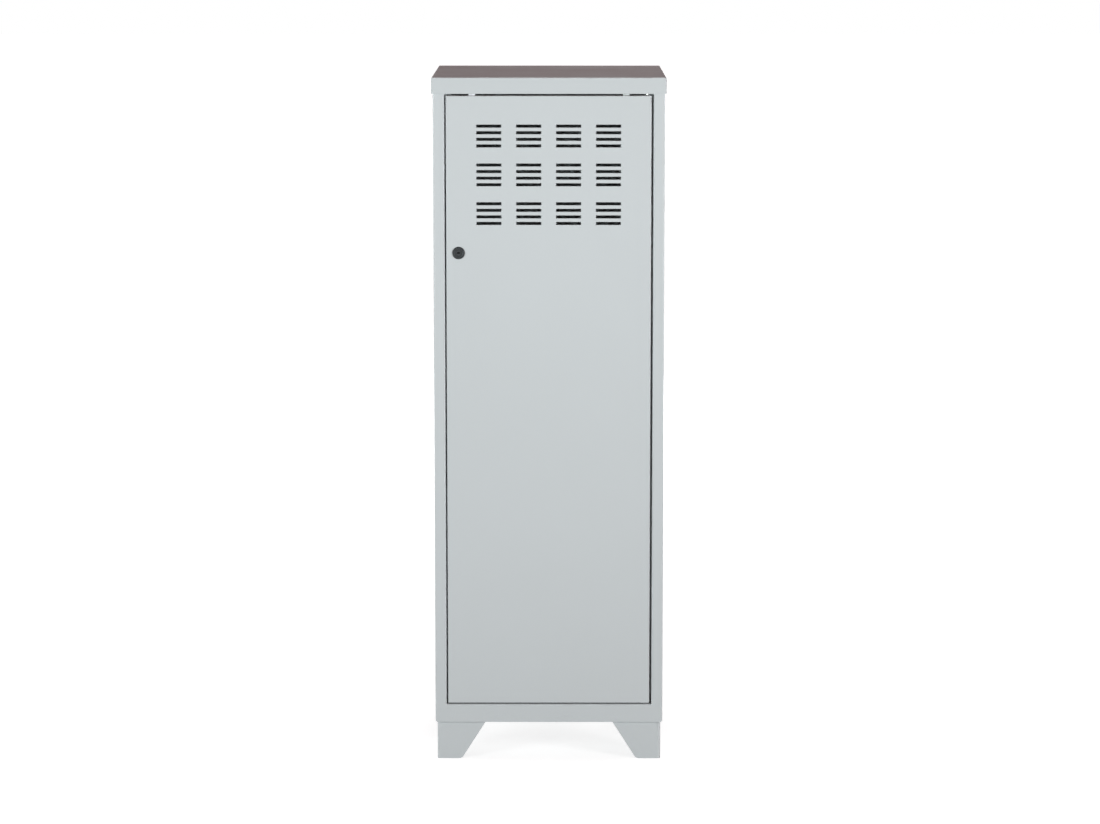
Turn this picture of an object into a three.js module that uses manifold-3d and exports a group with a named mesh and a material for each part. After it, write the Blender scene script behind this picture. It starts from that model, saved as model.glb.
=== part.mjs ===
// Free-standing sheet-steel locker with one vented door, a cam lock, two shelves and four folded feet.
// Millimetres, +Z up, the front faces -Y, the origin is on the floor under the middle of the locker.
import * as THREE from "three";
import { mergeVertices } from "three/addons/utils/BufferGeometryUtils.js";
import Module from "manifold-3d";

const wasm = await Module();
wasm.setup();

// Body
const BODY_WIDTH = 400;
const BODY_DEPTH = 400;
const HEIGHT = 1200;
const SHEET = 0.8;
const BEND_RADIUS = 2;
const BEND_STEPS = 3;
const BASE_RADIUS = 4;
const BASE_STEPS = 5;

// Clearances: a welded hairline, a resting face, a pin or shank in its hole
const SEAM = 0.1;
const SEAT = 0.2;
const FIT = 0.3;

// Front frame around the door
const STILE_WIDTH = 20;
const RAIL_HEIGHT = 32;
const JAMB_DEPTH = 24;
const STOP_LIP = 12;
const HEADER_HEM = 9;

// Cap
const CAP_OVERHANG = 2.5;
const CAP_APRON = 28;
const CAP_RADIUS = 2.5;

// Feet and their bolts
const FOOT_HEIGHT = 66.5;
const FOOT_SHEET = 2;
const FOOT_INSET = 3.3;
const FOOT_TOP_WIDTH = 85;
const FOOT_TOE_WIDTH = 43;
const FOOT_TOE_RADIUS = 9;
const FOOT_BEND = 5;
const FOOT_FLANGE = 20;
const FOOT_FLANGE_LENGTH = 72;
const FOOT_BOLT_REACH = 55;
const BOLT_RADIUS = 3;
const BOLT_HEAD_FLATS = 10;
const BOLT_HEAD_HEIGHT = 4;
const NUT_HEIGHT = 5;

// Door
const GAP_LOCK_SIDE = 2.5;
const GAP_HINGE_SIDE = 3.5;
const GAP_TOP = 3.5;
const GAP_BOTTOM = 2.5;
const DOOR_DEPTH = 20;
const DOOR_RETURN = 12;
const DOOR_RADIUS = 1.6;

// Vent slots, in groups
const VENT_COLUMNS = 4;
const VENT_ROWS = 3;
const VENT_SLOTS = 4;
const SLOT_LENGTH = 43;
const SLOT_HEIGHT = 5.2;
const SLOT_PITCH = 11.35;
const VENT_COLUMN_PITCH = 68.7;
const VENT_ROW_PITCH = 66.9;
const VENT_DROP = 52;

// Door stiffener, a hat section under the vents
const STIFFENER_CROWN = 34;
const STIFFENER_FLANGE = 14;
const STIFFENER_DEPTH = 15;
const STIFFENER_MARGIN = 34;

// Pivot hinges
const PIVOT_INSET = 7.5;
const PIVOT_SETBACK = 7;
const PIN_RADIUS = 2.5;
const PIN_REACH = 7;
const PIN_HEAD_RADIUS = 4.4;
const PIN_HEAD_HEIGHT = 2;
const BUSH_RADIUS = 4;
const BUSH_FLANGE_RADIUS = 5.5;
const BUSH_FLANGE_HEIGHT = 1.2;
const BUSH_LENGTH = 6;

// Buffers over the door and bumpers behind it
const BUFFER_INSET = 47.5;
const BUFFER_WIDTH = 11.5;
const BUFFER_DEPTH = 8;
const BUFFER_CLEARANCE = 0.4;
const BUMPER_RADIUS = 4.5;
const BUMPER_COUNT = 3;
const BUMPER_MARGIN = 120;
const STEM_RADIUS = 2;
const BULB_RADIUS = 2.8;
const BULB_HEIGHT = 1.5;

// Lock
const LOCK_INSET = 21.3;
const LOCK_DROP = 271;
const ROSETTE_RADIUS = 10.8;
const ROSETTE_HEIGHT = 2.2;
const ROSETTE_CHAMFER = 0.8;
const BARREL_RADIUS = 8;
const BARREL_FLAT = 7;
const PLUG_RADIUS = 5.8;
const PLUG_RECESS = 0.4;
const KEYWAY_LENGTH = 7;
const KEYWAY_WIDTH = 2;
const KEYWAY_DEPTH = 14;
const TANG_SIDE = 6.6;
const LOCK_NUT_FLATS = 20;
const LOCK_NUT_HEIGHT = 3;
const CAM_THICKNESS = 2.5;
const CAM_WIDTH = 16;
const CAM_REACH = 24;
const CAM_CLEARANCE = 0.6;
const CAM_SCREW_RADIUS = 2;
const CAM_SCREW_GRIP = 9;
const CAM_SCREW_FLATS = 7;
const CAM_SCREW_HEAD = 3;
const CAM_WASHER_RADIUS = 5.5;
const CAM_WASHER_HEIGHT = 1;

// Shelves and runners
const SHELF_HEIGHTS = { lower: 440, upper: 810 };
const SHELF_FOLD = 25;
const SHELF_SETBACK = 40;
const SHELF_PLAY = 0.5;
const RUNNER_SHEET = 1.2;
const RUNNER_LEAF = 20;

// Back panel and rivets
const BACK_LAP = 16;
const RIVETS_PER_SIDE = 3;
const RIVET_MARGIN = 90;
const RIVET_RADIUS = 2;
const RIVET_HEAD_RADIUS = 4;
const RIVET_HEAD_HEIGHT = 1.3;

const ROUND = 20;
const SMALL_ROUND = 12;

// Planes that several pieces share
const halfWidth = BODY_WIDTH / 2;
const halfDepth = BODY_DEPTH / 2;
const front = -halfDepth;
const bodyTop = HEIGHT - SHEET - SEAT;
const sill = FOOT_HEIGHT + RAIL_HEIGHT;
const lintel = HEIGHT - CAP_APRON;
const jamb = halfWidth - STILE_WIDTH;
const lipEdge = jamb - STOP_LIP;
const lipFront = front + JAMB_DEPTH;
const doorLeft = -jamb + GAP_LOCK_SIDE;
const doorRight = jamb - GAP_HINGE_SIDE;
const doorBottom = sill + GAP_BOTTOM;
const doorTop = lintel - GAP_TOP;
const doorMiddle = (doorLeft + doorRight) / 2;
const doorRear = front + DOOR_DEPTH;
const pivotX = doorRight - PIVOT_INSET;
const pivotY = front + PIVOT_SETBACK;
const lockX = doorLeft + LOCK_INSET;
const lockZ = doorTop - LOCK_DROP;
const boltEdge = (BASE_RADIUS + STILE_WIDTH) / 2;
const boltReach = FOOT_INSET + FOOT_BOLT_REACH;

// Paint and bare materials
const PAINT = { color: 0xcdd2d3, roughness: 0.42, metalness: 0.0 };
const ZINC = { color: 0xb4b7b6, roughness: 0.35, metalness: 0.9 };
const DARK_METAL = { color: 0x44484a, roughness: 0.35, metalness: 0.6 };
const WHITE_NYLON = { color: 0xf0f3f5, roughness: 0.5, metalness: 0.0 };
const GREY_NYLON = { color: 0x8d9092, roughness: 0.55, metalness: 0.0 };
const RUBBER = { color: 0x2b2b2c, roughness: 0.8, metalness: 0.0 };

// A closed solid for joining and cutting, from a three.js geometry.
function solid(geometry) {
  const loose = geometry.index ? geometry.toNonIndexed() : geometry.clone();
  loose.deleteAttribute("normal");
  loose.deleteAttribute("uv");
  const merged = mergeVertices(loose, 1e-4);
  const vertProperties = merged.attributes.position.array;
  const triVerts = new Uint32Array(merged.index.array);
  return new wasm.Manifold(new wasm.Mesh({ numProp: 3, vertProperties, triVerts }));
}

// A three.js geometry from a finished solid.
function geometryOf(made) {
  const mesh = made.getMesh();
  const geometry = new THREE.BufferGeometry();
  geometry.setAttribute("position", new THREE.BufferAttribute(mesh.vertProperties, 3));
  geometry.setIndex(new THREE.BufferAttribute(mesh.triVerts, 1));
  geometry.computeVertexNormals();
  return geometry;
}

const union = (...pieces) => pieces.reduce((whole, piece) => whole.add(piece));
const point = (u, v) => new THREE.Vector2(u, v);

// Directions of a drawing's two axes and of its extrusion, for views from above, the front and the side.
const FROM_ABOVE = [[1, 0, 0], [0, 1, 0], [0, 0, 1]];
const FROM_FRONT = [[1, 0, 0], [0, 0, 1], [0, -1, 0]];
const FROM_SIDE = [[0, 1, 0], [0, 0, 1], [1, 0, 0]];

function oriented(geometry, view) {
  const axes = view.map((axis) => new THREE.Vector3(...axis));
  return geometry.applyMatrix4(new THREE.Matrix4().makeBasis(...axes));
}

// Drawn shapes pushed straight along the view's third axis, between two coordinates of the locker.
function prism(shapes, view, from, to) {
  const geometry = new THREE.ExtrudeGeometry(shapes, { depth: to - from, bevelEnabled: false });
  const start = view === FROM_FRONT ? -to : from;
  geometry.translate(0, 0, start);
  return solid(oriented(geometry, view));
}

function box(x0, x1, y0, y1, z0, z1) {
  const geometry = new THREE.BoxGeometry(x1 - x0, y1 - y0, z1 - z0);
  return solid(geometry.translate((x0 + x1) / 2, (y0 + y1) / 2, (z0 + z1) / 2));
}

function polygon(u, v, radius, sides, turn = 0) {
  const corners = Array.from({ length: sides }, (_, i) => {
    const angle = turn + (2 * Math.PI * i) / sides;
    return point(u + radius * Math.cos(angle), v + radius * Math.sin(angle));
  });
  return new THREE.Shape(corners);
}

const hexagon = (u, v, flats) => polygon(u, v, flats / Math.sqrt(3), 6, Math.PI / 6);

function rectangle(u0, u1, v0, v1) {
  return new THREE.Shape([point(u0, v0), point(u1, v0), point(u1, v1), point(u0, v1)]);
}

// A ring or turned piece about the Z axis, from the radii and heights of its outline.
function turned(outline, sides) {
  const profile = outline.map(([radius, height]) => point(radius, height));
  const geometry = new THREE.LatheGeometry(profile, sides);
  return solid(geometry.rotateX(Math.PI / 2));
}

// Cross-section of a folded sheet: the path walks along one face, the sheet lies to its left.
function foldedShape(path, thickness, radius) {
  const near = [];
  const far = [];
  path.forEach((corner, i) => {
    const inward = i > 0 ? corner.clone().sub(path[i - 1]).normalize() : null;
    const onward = i < path.length - 1 ? path[i + 1].clone().sub(corner).normalize() : null;
    if (!inward || !onward) {
      const along = inward ?? onward;
      near.push(corner);
      far.push(point(corner.x - along.y * thickness, corner.y + along.x * thickness));
      return;
    }
    const turn = Math.atan2(inward.cross(onward), inward.dot(onward));
    const side = Math.sign(turn);
    const faceRadius = side > 0 ? radius : radius - thickness;
    const start = corner.clone().addScaledVector(inward, -faceRadius * Math.tan(Math.abs(turn) / 2));
    const toFace = point(inward.y * side, -inward.x * side);
    const centre = start.clone().addScaledVector(toFace, -faceRadius);
    for (let step = 0; step <= BEND_STEPS; step += 1) {
      const spoke = toFace.clone().rotateAround(point(0, 0), (turn * step) / BEND_STEPS);
      near.push(centre.clone().addScaledVector(spoke, faceRadius));
      far.push(centre.clone().addScaledVector(spoke, faceRadius - side * thickness));
    }
  });
  return new THREE.Shape([...near, ...far.reverse()]);
}

// A block whose one broad face has rounded edges; the face lies at zero and the block behind it.
function cushion(u0, u1, v0, v1, depth, radius, view, offset) {
  const shape = rectangle(u0 + radius, u1 - radius, v0 + radius, v1 - radius);
  const geometry = new THREE.ExtrudeGeometry(shape, {
    depth,
    bevelEnabled: true,
    bevelSize: radius,
    bevelThickness: radius,
    bevelSegments: BEND_STEPS,
  });
  geometry.translate(0, 0, offset - depth - radius);
  const keep = new THREE.BoxGeometry(u1 - u0 + 2, v1 - v0 + 2, depth);
  keep.translate((u0 + u1) / 2, (v0 + v1) / 2, offset - depth / 2);
  return solid(oriented(geometry, view)).intersect(solid(oriented(keep, view)));
}

// A sheet pan: a broad face with four edges folded away from it.
function pan(u0, u1, v0, v1, depth, radius, view, offset) {
  const outside = cushion(u0, u1, v0, v1, depth, radius, view, offset);
  const inside = cushion(
    u0 + SHEET, u1 - SHEET, v0 + SHEET, v1 - SHEET, depth, radius - SHEET, view, offset - SHEET,
  );
  return outside.subtract(inside);
}

// Shell of the body: square above, rounded where the sides meet the floor, folded at the upright corners.
function bodyBlock(inset) {
  const half = halfWidth - inset;
  const low = FOOT_HEIGHT + inset;
  const high = bodyTop - inset;
  const radius = BASE_RADIUS - inset;
  const face = [point(half, high), point(-half, high)];
  for (const side of [-1, 1]) {
    for (let step = 0; step <= BASE_STEPS; step += 1) {
      const angle = (Math.PI / 2) * (side < 0 ? step / BASE_STEPS : 1 - step / BASE_STEPS);
      face.push(point(
        side * (half - radius + radius * Math.cos(angle)),
        low + radius - radius * Math.sin(angle),
      ));
    }
  }
  const fold = BEND_RADIUS - inset;
  const deep = halfDepth - inset;
  const plan = [];
  for (const [across, along, quarter] of [[1, 1, 0], [-1, 1, 1], [-1, -1, 2], [1, -1, 3]]) {
    for (let step = 0; step <= BEND_STEPS; step += 1) {
      const angle = (Math.PI / 2) * (quarter + step / BEND_STEPS);
      plan.push(point(
        across * (half - fold) + fold * Math.cos(angle),
        along * (deep - fold) + fold * Math.sin(angle),
      ));
    }
  }
  const upright = prism(new THREE.Shape(plan), FROM_ABOVE, FOOT_HEIGHT - 1, HEIGHT);
  return prism(new THREE.Shape(face), FROM_FRONT, -BODY_DEPTH, BODY_DEPTH).intersect(upright);
}

const bodyShell = bodyBlock(0).subtract(bodyBlock(SHEET));
const jambLap = 2 * BEND_RADIUS;

// Left wall with its stile, jamb and stop lip; the right one is its mirror image.
function sidePanel() {
  const outer = -halfWidth - 1;
  const lowPart = box(outer, -jamb, -BODY_DEPTH, BODY_DEPTH, FOOT_HEIGHT - 1, sill);
  const highPart = box(outer, -jamb, front + jambLap, BODY_DEPTH, sill - 1, HEIGHT);
  const stile = box(outer, -jamb - jambLap, -BODY_DEPTH, front + 2 * jambLap, sill - 1, HEIGHT);
  const jambPath = [
    point(-jamb - 2 * jambLap, front),
    point(-jamb, front),
    point(-jamb, lipFront),
    point(-lipEdge, lipFront),
  ];
  const jambFold = prism(foldedShape(jambPath, SHEET, BEND_RADIUS), FROM_ABOVE, sill, bodyTop);
  const wall = bodyShell.intersect(union(lowPart, highPart, stile));
  return union(wall, jambFold);
}

const sideBoltY = [-halfDepth + boltReach, halfDepth - boltReach];
const rivetHeights = Array.from({ length: RIVETS_PER_SIDE }, (_, i) => {
  const low = sill + RIVET_MARGIN;
  return low + (i * (bodyTop - RIVET_MARGIN - low)) / (RIVETS_PER_SIDE - 1);
});
const rivetX = halfWidth - BACK_LAP / 2 - SHEET;
const bumperX = -(jamb + lipEdge) / 2;
const bumperHeights = Array.from({ length: BUMPER_COUNT }, (_, i) => {
  const low = doorBottom + BUMPER_MARGIN;
  return low + (i * (doorTop - BUMPER_MARGIN - low)) / (BUMPER_COUNT - 1);
});

// Holes through the rear flange and the bottom flange of a side panel, as cut in the left one.
function sideHoles() {
  const bolts = sideBoltY.map((y) => polygon(-halfWidth + boltEdge, y, BOLT_RADIUS + FIT, SMALL_ROUND));
  const rivets = rivetHeights.map((z) => polygon(-rivetX, z, RIVET_RADIUS + FIT, SMALL_ROUND));
  return union(
    prism(bolts, FROM_ABOVE, FOOT_HEIGHT - 1, FOOT_HEIGHT + 1),
    prism(rivets, FROM_FRONT, halfDepth - 1, halfDepth + 1),
  );
}

function leftSidePanel() {
  const stems = bumperHeights.map((z) => polygon(bumperX, z, STEM_RADIUS + FIT, SMALL_ROUND));
  const stemHoles = prism(stems, FROM_FRONT, lipFront - 1, lipFront + SHEET + 1);
  return sidePanel().subtract(sideHoles()).subtract(stemHoles);
}

function rightSidePanel() {
  const left = sidePanel().subtract(sideHoles());
  const mirrored = geometryOf(left).scale(-1, 1, 1);
  const turnedFaces = mirrored.index.array;
  for (let i = 0; i < turnedFaces.length; i += 3) {
    [turnedFaces[i], turnedFaces[i + 1]] = [turnedFaces[i + 1], turnedFaces[i]];
  }
  return solid(mirrored);
}

// The rail and the header are cut back at their rear corners, where the side panels' stop lips pass.
function trimLipEnds(piece, low, high) {
  const inside = lipEdge - SEAM;
  const reach = lipFront - BEND_RADIUS;
  const left = box(-halfWidth, -inside, reach, reach + STOP_LIP, low, high);
  const right = box(inside, halfWidth, reach, reach + STOP_LIP, low, high);
  return piece.subtract(left).subtract(right);
}

// Floor, front rail and rear upstand in one folded pan.
function floorPan() {
  const inside = jamb - SEAM;
  const tray = box(-inside, inside, -BODY_DEPTH, BODY_DEPTH, FOOT_HEIGHT - 1, sill - jambLap);
  const sillPath = [
    point(lipFront, sill + STOP_LIP),
    point(lipFront, sill),
    point(front, sill),
    point(front, sill - 2 * jambLap),
  ];
  const sillFold = prism(foldedShape(sillPath, SHEET, BEND_RADIUS), FROM_SIDE, -inside, inside);
  const folded = union(bodyShell.intersect(tray), trimLipEnds(sillFold, sill - jambLap, sill + STOP_LIP + 1));
  const bolts = [-1, 1].flatMap((across) => [-1, 1].map((along) => polygon(
    across * (halfWidth - boltReach), along * (halfDepth - boltEdge), BOLT_RADIUS + FIT, SMALL_ROUND,
  )));
  const boltHoles = prism(bolts, FROM_ABOVE, FOOT_HEIGHT - 1, FOOT_HEIGHT + 1);
  const pin = polygon(pivotX, pivotY, PIN_RADIUS + FIT, ROUND);
  const pinHole = prism(pin, FROM_ABOVE, sill - SHEET - 1, sill + 1);
  return folded.subtract(boltHoles).subtract(pinHole);
}

const bufferX = jamb - BUFFER_INSET;
const bufferY = front + BUFFER_DEPTH / 2 + SHEET;

// Channel over the door, hidden by the cap's apron.
function frontHeader() {
  const path = [
    point(front + STILE_WIDTH, bodyTop),
    point(front, bodyTop),
    point(front, lintel),
    point(lipFront, lintel),
    point(lipFront, lintel + HEADER_HEM),
  ];
  const inside = jamb - SEAM;
  const folded = prism(foldedShape(path, SHEET, BEND_RADIUS), FROM_SIDE, -inside, inside);
  const channel = trimLipEnds(folded, lintel - 1, lintel + HEADER_HEM + 1);
  const holes = [polygon(pivotX, pivotY, PIN_RADIUS + FIT, ROUND)];
  for (const side of [-1, 1]) {
    holes.push(polygon(side * bufferX, bufferY, STEM_RADIUS + FIT, SMALL_ROUND));
  }
  return channel.subtract(prism(holes, FROM_ABOVE, lintel - 1, lintel + SHEET + 1));
}

function topCap() {
  const across = halfWidth + CAP_OVERHANG;
  const along = halfDepth + CAP_OVERHANG;
  return pan(-across, across, -along, along, CAP_APRON, CAP_RADIUS, FROM_ABOVE, HEIGHT);
}

// Sheet behind the opening, laid against the rear flanges from inside.
const backRear = halfDepth - SHEET - SEAT;

function backPanel() {
  const across = halfWidth - SHEET - BEND_RADIUS;
  const low = FOOT_HEIGHT + BASE_RADIUS;
  const sheet = box(-across, across, backRear - SHEET, backRear, low, bodyTop - SHEET - BEND_RADIUS);
  const rivets = [-1, 1].flatMap((side) => rivetHeights.map((z) => polygon(
    side * rivetX, z, RIVET_RADIUS + FIT, SMALL_ROUND,
  )));
  return sheet.subtract(prism(rivets, FROM_FRONT, backRear - SHEET - 1, backRear + 1));
}

// Blind rivet about its own axis: dome outside at positive heights, formed end inside the locker.
function rivet() {
  const grip = 2 * SHEET + SEAT;
  const formed = RIVET_RADIUS + 1;
  return turned([
    [0, -grip - SEAT - 2],
    [formed - 0.5, -grip - SEAT - 2],
    [formed, -grip - SEAT - 1],
    [formed, -grip - SEAT],
    [RIVET_RADIUS, -grip - SEAT],
    [RIVET_RADIUS, SEAT / 2],
    [RIVET_HEAD_RADIUS, SEAT / 2],
    [RIVET_HEAD_RADIUS - 0.6, RIVET_HEAD_HEIGHT * 0.6],
    [RIVET_HEAD_RADIUS * 0.5, RIVET_HEAD_HEIGHT],
    [0, RIVET_HEAD_HEIGHT],
  ], SMALL_ROUND);
}

// Folded corner foot about its own outer corner; both leaves taper to the toe.
function foot() {
  const width = FOOT_TOP_WIDTH;
  const corner = [point(0, width), point(0, 0), point(width, 0)];
  const leaves = prism(foldedShape(corner, FOOT_SHEET, FOOT_BEND), FROM_ABOVE, 0, FOOT_HEIGHT - SEAT);
  const rise = FOOT_HEIGHT;
  const slope = Math.atan2(rise, width - FOOT_TOE_WIDTH);
  const tangent = FOOT_TOE_RADIUS * Math.tan(slope / 2);
  const outline = [point(-1, rise), point(-1, 0)];
  for (let step = 0; step <= BASE_STEPS; step += 1) {
    const angle = (slope * step) / BASE_STEPS;
    outline.push(point(
      FOOT_TOE_WIDTH - tangent + FOOT_TOE_RADIUS * Math.sin(angle),
      FOOT_TOE_RADIUS - FOOT_TOE_RADIUS * Math.cos(angle),
    ));
  }
  outline.push(point(width, rise));
  const taper = new THREE.Shape(outline);
  const trimmed = leaves
    .intersect(prism(taper, FROM_FRONT, -1, width + 1))
    .intersect(prism(taper, FROM_SIDE, -1, width + 1));
  const near = FOOT_SHEET / 2;
  const flange = new THREE.Shape([
    point(near, FOOT_BEND),
    point(FOOT_BEND, near),
    point(FOOT_FLANGE_LENGTH, near),
    point(FOOT_FLANGE_LENGTH, FOOT_FLANGE),
    point(FOOT_FLANGE, FOOT_FLANGE),
    point(FOOT_FLANGE, FOOT_FLANGE_LENGTH),
    point(near, FOOT_FLANGE_LENGTH),
  ]);
  const plate = prism(flange, FROM_ABOVE, FOOT_HEIGHT - SEAT - FOOT_SHEET, FOOT_HEIGHT - SEAT);
  const edge = boltEdge - FOOT_INSET;
  const holes = [
    polygon(FOOT_BOLT_REACH, edge, BOLT_RADIUS + FIT, SMALL_ROUND),
    polygon(edge, FOOT_BOLT_REACH, BOLT_RADIUS + FIT, SMALL_ROUND),
  ];
  const cut = prism(holes, FROM_ABOVE, FOOT_HEIGHT - FOOT_SHEET - 1, FOOT_HEIGHT + 1);
  return union(trimmed, plate).subtract(cut);
}

// Bolt up through a foot's flange and the floor, its head underneath; height zero is the flange's underside.
const boltStack = FOOT_SHEET + SEAT + SHEET;

function footBolt() {
  const head = prism(hexagon(0, 0, BOLT_HEAD_FLATS), FROM_ABOVE, -BOLT_HEAD_HEIGHT - SEAT, -SEAT);
  const shank = polygon(0, 0, BOLT_RADIUS, SMALL_ROUND);
  return union(head, prism(shank, FROM_ABOVE, -SEAT - 1, boltStack + SEAT + NUT_HEIGHT + 2));
}

function footNut() {
  const low = boltStack + SEAT;
  const block = prism(hexagon(0, 0, BOLT_HEAD_FLATS), FROM_ABOVE, low, low + NUT_HEIGHT);
  const bore = polygon(0, 0, BOLT_RADIUS + FIT, SMALL_ROUND);
  return block.subtract(prism(bore, FROM_ABOVE, low - 1, low + NUT_HEIGHT + 1));
}

// Shelf pan, open below, and the angle runner that carries its folded edge.
const shelfHalf = halfWidth - SHEET - SEAT - RUNNER_SHEET - SHELF_PLAY;
const shelfFront = front + SHELF_SETBACK;
const shelfRear = backRear - SHEET - RIVET_RADIUS - 2;
const shelfMiddle = (shelfFront + shelfRear) / 2;

function shelf() {
  return pan(-shelfHalf, shelfHalf, shelfFront, shelfRear, SHELF_FOLD, BEND_RADIUS, FROM_ABOVE, 0);
}

function runner() {
  const path = [point(0, RUNNER_LEAF), point(0, 0), point(RUNNER_LEAF, 0)];
  const length = shelfRear - shelfFront;
  const profile = foldedShape(path, RUNNER_SHEET, RUNNER_SHEET + SHELF_PLAY);
  return prism(profile, FROM_FRONT, -length / 2, length / 2);
}

// Door skin with its folded edges, inner returns, vent slots, lock hole and pivot holes.
function ventSlots() {
  const slots = [];
  for (let column = 0; column < VENT_COLUMNS; column += 1) {
    const u = doorMiddle + (column - (VENT_COLUMNS - 1) / 2) * VENT_COLUMN_PITCH;
    for (let row = 0; row < VENT_ROWS; row += 1) {
      for (let slot = 0; slot < VENT_SLOTS; slot += 1) {
        const v = doorTop - VENT_DROP - row * VENT_ROW_PITCH - slot * SLOT_PITCH;
        slots.push(rectangle(
          u - SLOT_LENGTH / 2, u + SLOT_LENGTH / 2, v - SLOT_HEIGHT / 2, v + SLOT_HEIGHT / 2,
        ));
      }
    }
  }
  return prism(slots, FROM_FRONT, front - 1, front + SHEET + 1);
}

// Barrel between two heights: round, with two flats that stop it turning in the door.
function barrel(margin, from, to) {
  const round = prism(polygon(0, 0, BARREL_RADIUS + margin, ROUND), FROM_ABOVE, from, to);
  const wide = 2 * BARREL_RADIUS;
  const high = BARREL_FLAT + margin;
  return round.intersect(box(-wide, wide, -high, high, from, to));
}

// A solid made about the Z axis, laid so that +Z points out of the door and its zero is the door's face.
function inDoor(made) {
  return solid(oriented(geometryOf(made), FROM_FRONT).translate(lockX, front, lockZ));
}

function doorPanel() {
  const tray = pan(doorLeft, doorRight, doorBottom, doorTop, DOOR_DEPTH, DOOR_RADIUS, FROM_FRONT, -front);
  const hem = DOOR_RETURN;
  const ring = rectangle(doorLeft, doorRight, doorBottom, doorTop);
  ring.holes.push(rectangle(doorLeft + hem, doorRight - hem, doorBottom + hem, doorTop - hem));
  const returns = prism(ring, FROM_FRONT, doorRear - SHEET, doorRear);
  const bush = polygon(pivotX, pivotY, BUSH_RADIUS + FIT, ROUND);
  const bushHoles = union(
    prism(bush, FROM_ABOVE, doorBottom - 1, doorBottom + SHEET + 1),
    prism(bush, FROM_ABOVE, doorTop - SHEET - 1, doorTop + 1),
  );
  const lockCut = inDoor(barrel(FIT, -SHEET - 1, 1));
  return union(tray, returns).subtract(ventSlots()).subtract(bushHoles).subtract(lockCut);
}

function doorStiffener() {
  const inner = front + SHEET + SEAT;
  const half = STIFFENER_CROWN / 2;
  const path = [
    point(half + STIFFENER_FLANGE, inner + SHEET),
    point(half, inner + SHEET),
    point(half, inner + STIFFENER_DEPTH),
    point(-half, inner + STIFFENER_DEPTH),
    point(-half, inner + SHEET),
    point(-half - STIFFENER_FLANGE, inner + SHEET),
  ].map((corner) => corner.add(point(doorMiddle, 0)));
  const ventFoot = doorTop - VENT_DROP - (VENT_ROWS - 1) * VENT_ROW_PITCH - (VENT_SLOTS - 1) * SLOT_PITCH;
  const high = ventFoot - SLOT_HEIGHT - STIFFENER_MARGIN;
  return prism(foldedShape(path, SHEET, BEND_RADIUS), FROM_ABOVE, doorBottom + STIFFENER_MARGIN, high);
}

// Hinge pieces about the pivot axis, made for the top of the door; those below are turned over.
function hingePin() {
  const plate = GAP_TOP + SHEET + SEAT;
  return turned([
    [0, -PIN_REACH],
    [PIN_RADIUS - 0.5, -PIN_REACH],
    [PIN_RADIUS, -PIN_REACH + 0.5],
    [PIN_RADIUS, plate],
    [PIN_HEAD_RADIUS, plate],
    [PIN_HEAD_RADIUS, plate + PIN_HEAD_HEIGHT],
    [0, plate + PIN_HEAD_HEIGHT],
  ], ROUND);
}

function lowerHingePin() {
  const plate = -GAP_BOTTOM - SHEET - SEAT;
  return turned([
    [0, plate - PIN_HEAD_HEIGHT],
    [PIN_HEAD_RADIUS, plate - PIN_HEAD_HEIGHT],
    [PIN_HEAD_RADIUS, plate],
    [PIN_RADIUS, plate],
    [PIN_RADIUS, PIN_REACH - 0.5],
    [PIN_RADIUS - 0.5, PIN_REACH],
    [0, PIN_REACH],
  ], ROUND);
}

function hingeBush(side) {
  const bore = PIN_RADIUS + FIT;
  const rows = [
    [bore, -BUSH_LENGTH],
    [BUSH_RADIUS, -BUSH_LENGTH],
    [BUSH_RADIUS, SEAT],
    [BUSH_FLANGE_RADIUS, SEAT],
    [BUSH_FLANGE_RADIUS, SEAT + BUSH_FLANGE_HEIGHT],
    [bore, SEAT + BUSH_FLANGE_HEIGHT],
  ].map(([radius, height]) => [radius, side * height]);
  const loop = side > 0 ? rows : [rows[0], ...rows.slice(1).reverse()];
  return turned([...loop, loop[0]], ROUND);
}

function thrustWasher() {
  const bore = PIN_RADIUS + FIT;
  const low = -GAP_BOTTOM + SEAT;
  const high = -SEAT - BUSH_FLANGE_HEIGHT - SEAT;
  const rim = BUSH_FLANGE_RADIUS;
  return turned([[bore, low], [rim, low], [rim, high], [bore, high], [bore, low]], ROUND);
}

// Pale buffer under the header, pushed into it by a stem with a bulb; height zero is the header's underside.
function doorBuffer() {
  const half = BUFFER_WIDTH / 2;
  const deep = BUFFER_DEPTH / 2;
  const block = box(-half, half, -deep, deep, -GAP_TOP + BUFFER_CLEARANCE, -SEAT);
  const stem = turned([
    [0, -1],
    [STEM_RADIUS, -1],
    [STEM_RADIUS, SHEET + SEAT],
    [BULB_RADIUS, SHEET + SEAT],
    [STEM_RADIUS - 0.5, SHEET + SEAT + BULB_HEIGHT],
    [0, SHEET + SEAT + BULB_HEIGHT],
  ], SMALL_ROUND);
  return union(block, stem);
}

// Round rubber bumper on the stop lip; height zero is the lip's front face, positive towards the door.
function stopBumper() {
  const height = JAMB_DEPTH - DOOR_DEPTH - FIT;
  return turned([
    [0, -SHEET - SEAT - BULB_HEIGHT],
    [STEM_RADIUS - 0.5, -SHEET - SEAT - BULB_HEIGHT],
    [BULB_RADIUS, -SHEET - SEAT],
    [STEM_RADIUS, -SHEET - SEAT],
    [STEM_RADIUS, SEAT],
    [BUMPER_RADIUS, SEAT],
    [BUMPER_RADIUS, height - 0.8],
    [BUMPER_RADIUS - 0.8, height],
    [0, height],
  ], SMALL_ROUND);
}

// Lock pieces about the lock's axis, positive heights out of the door, zero on the door's face.
const camFront = -JAMB_DEPTH - SHEET - CAM_CLEARANCE;
const camRear = camFront - CAM_THICKNESS;
const barrelEnd = camFront + SEAT;
const plugBore = PLUG_RADIUS + FIT;

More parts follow.
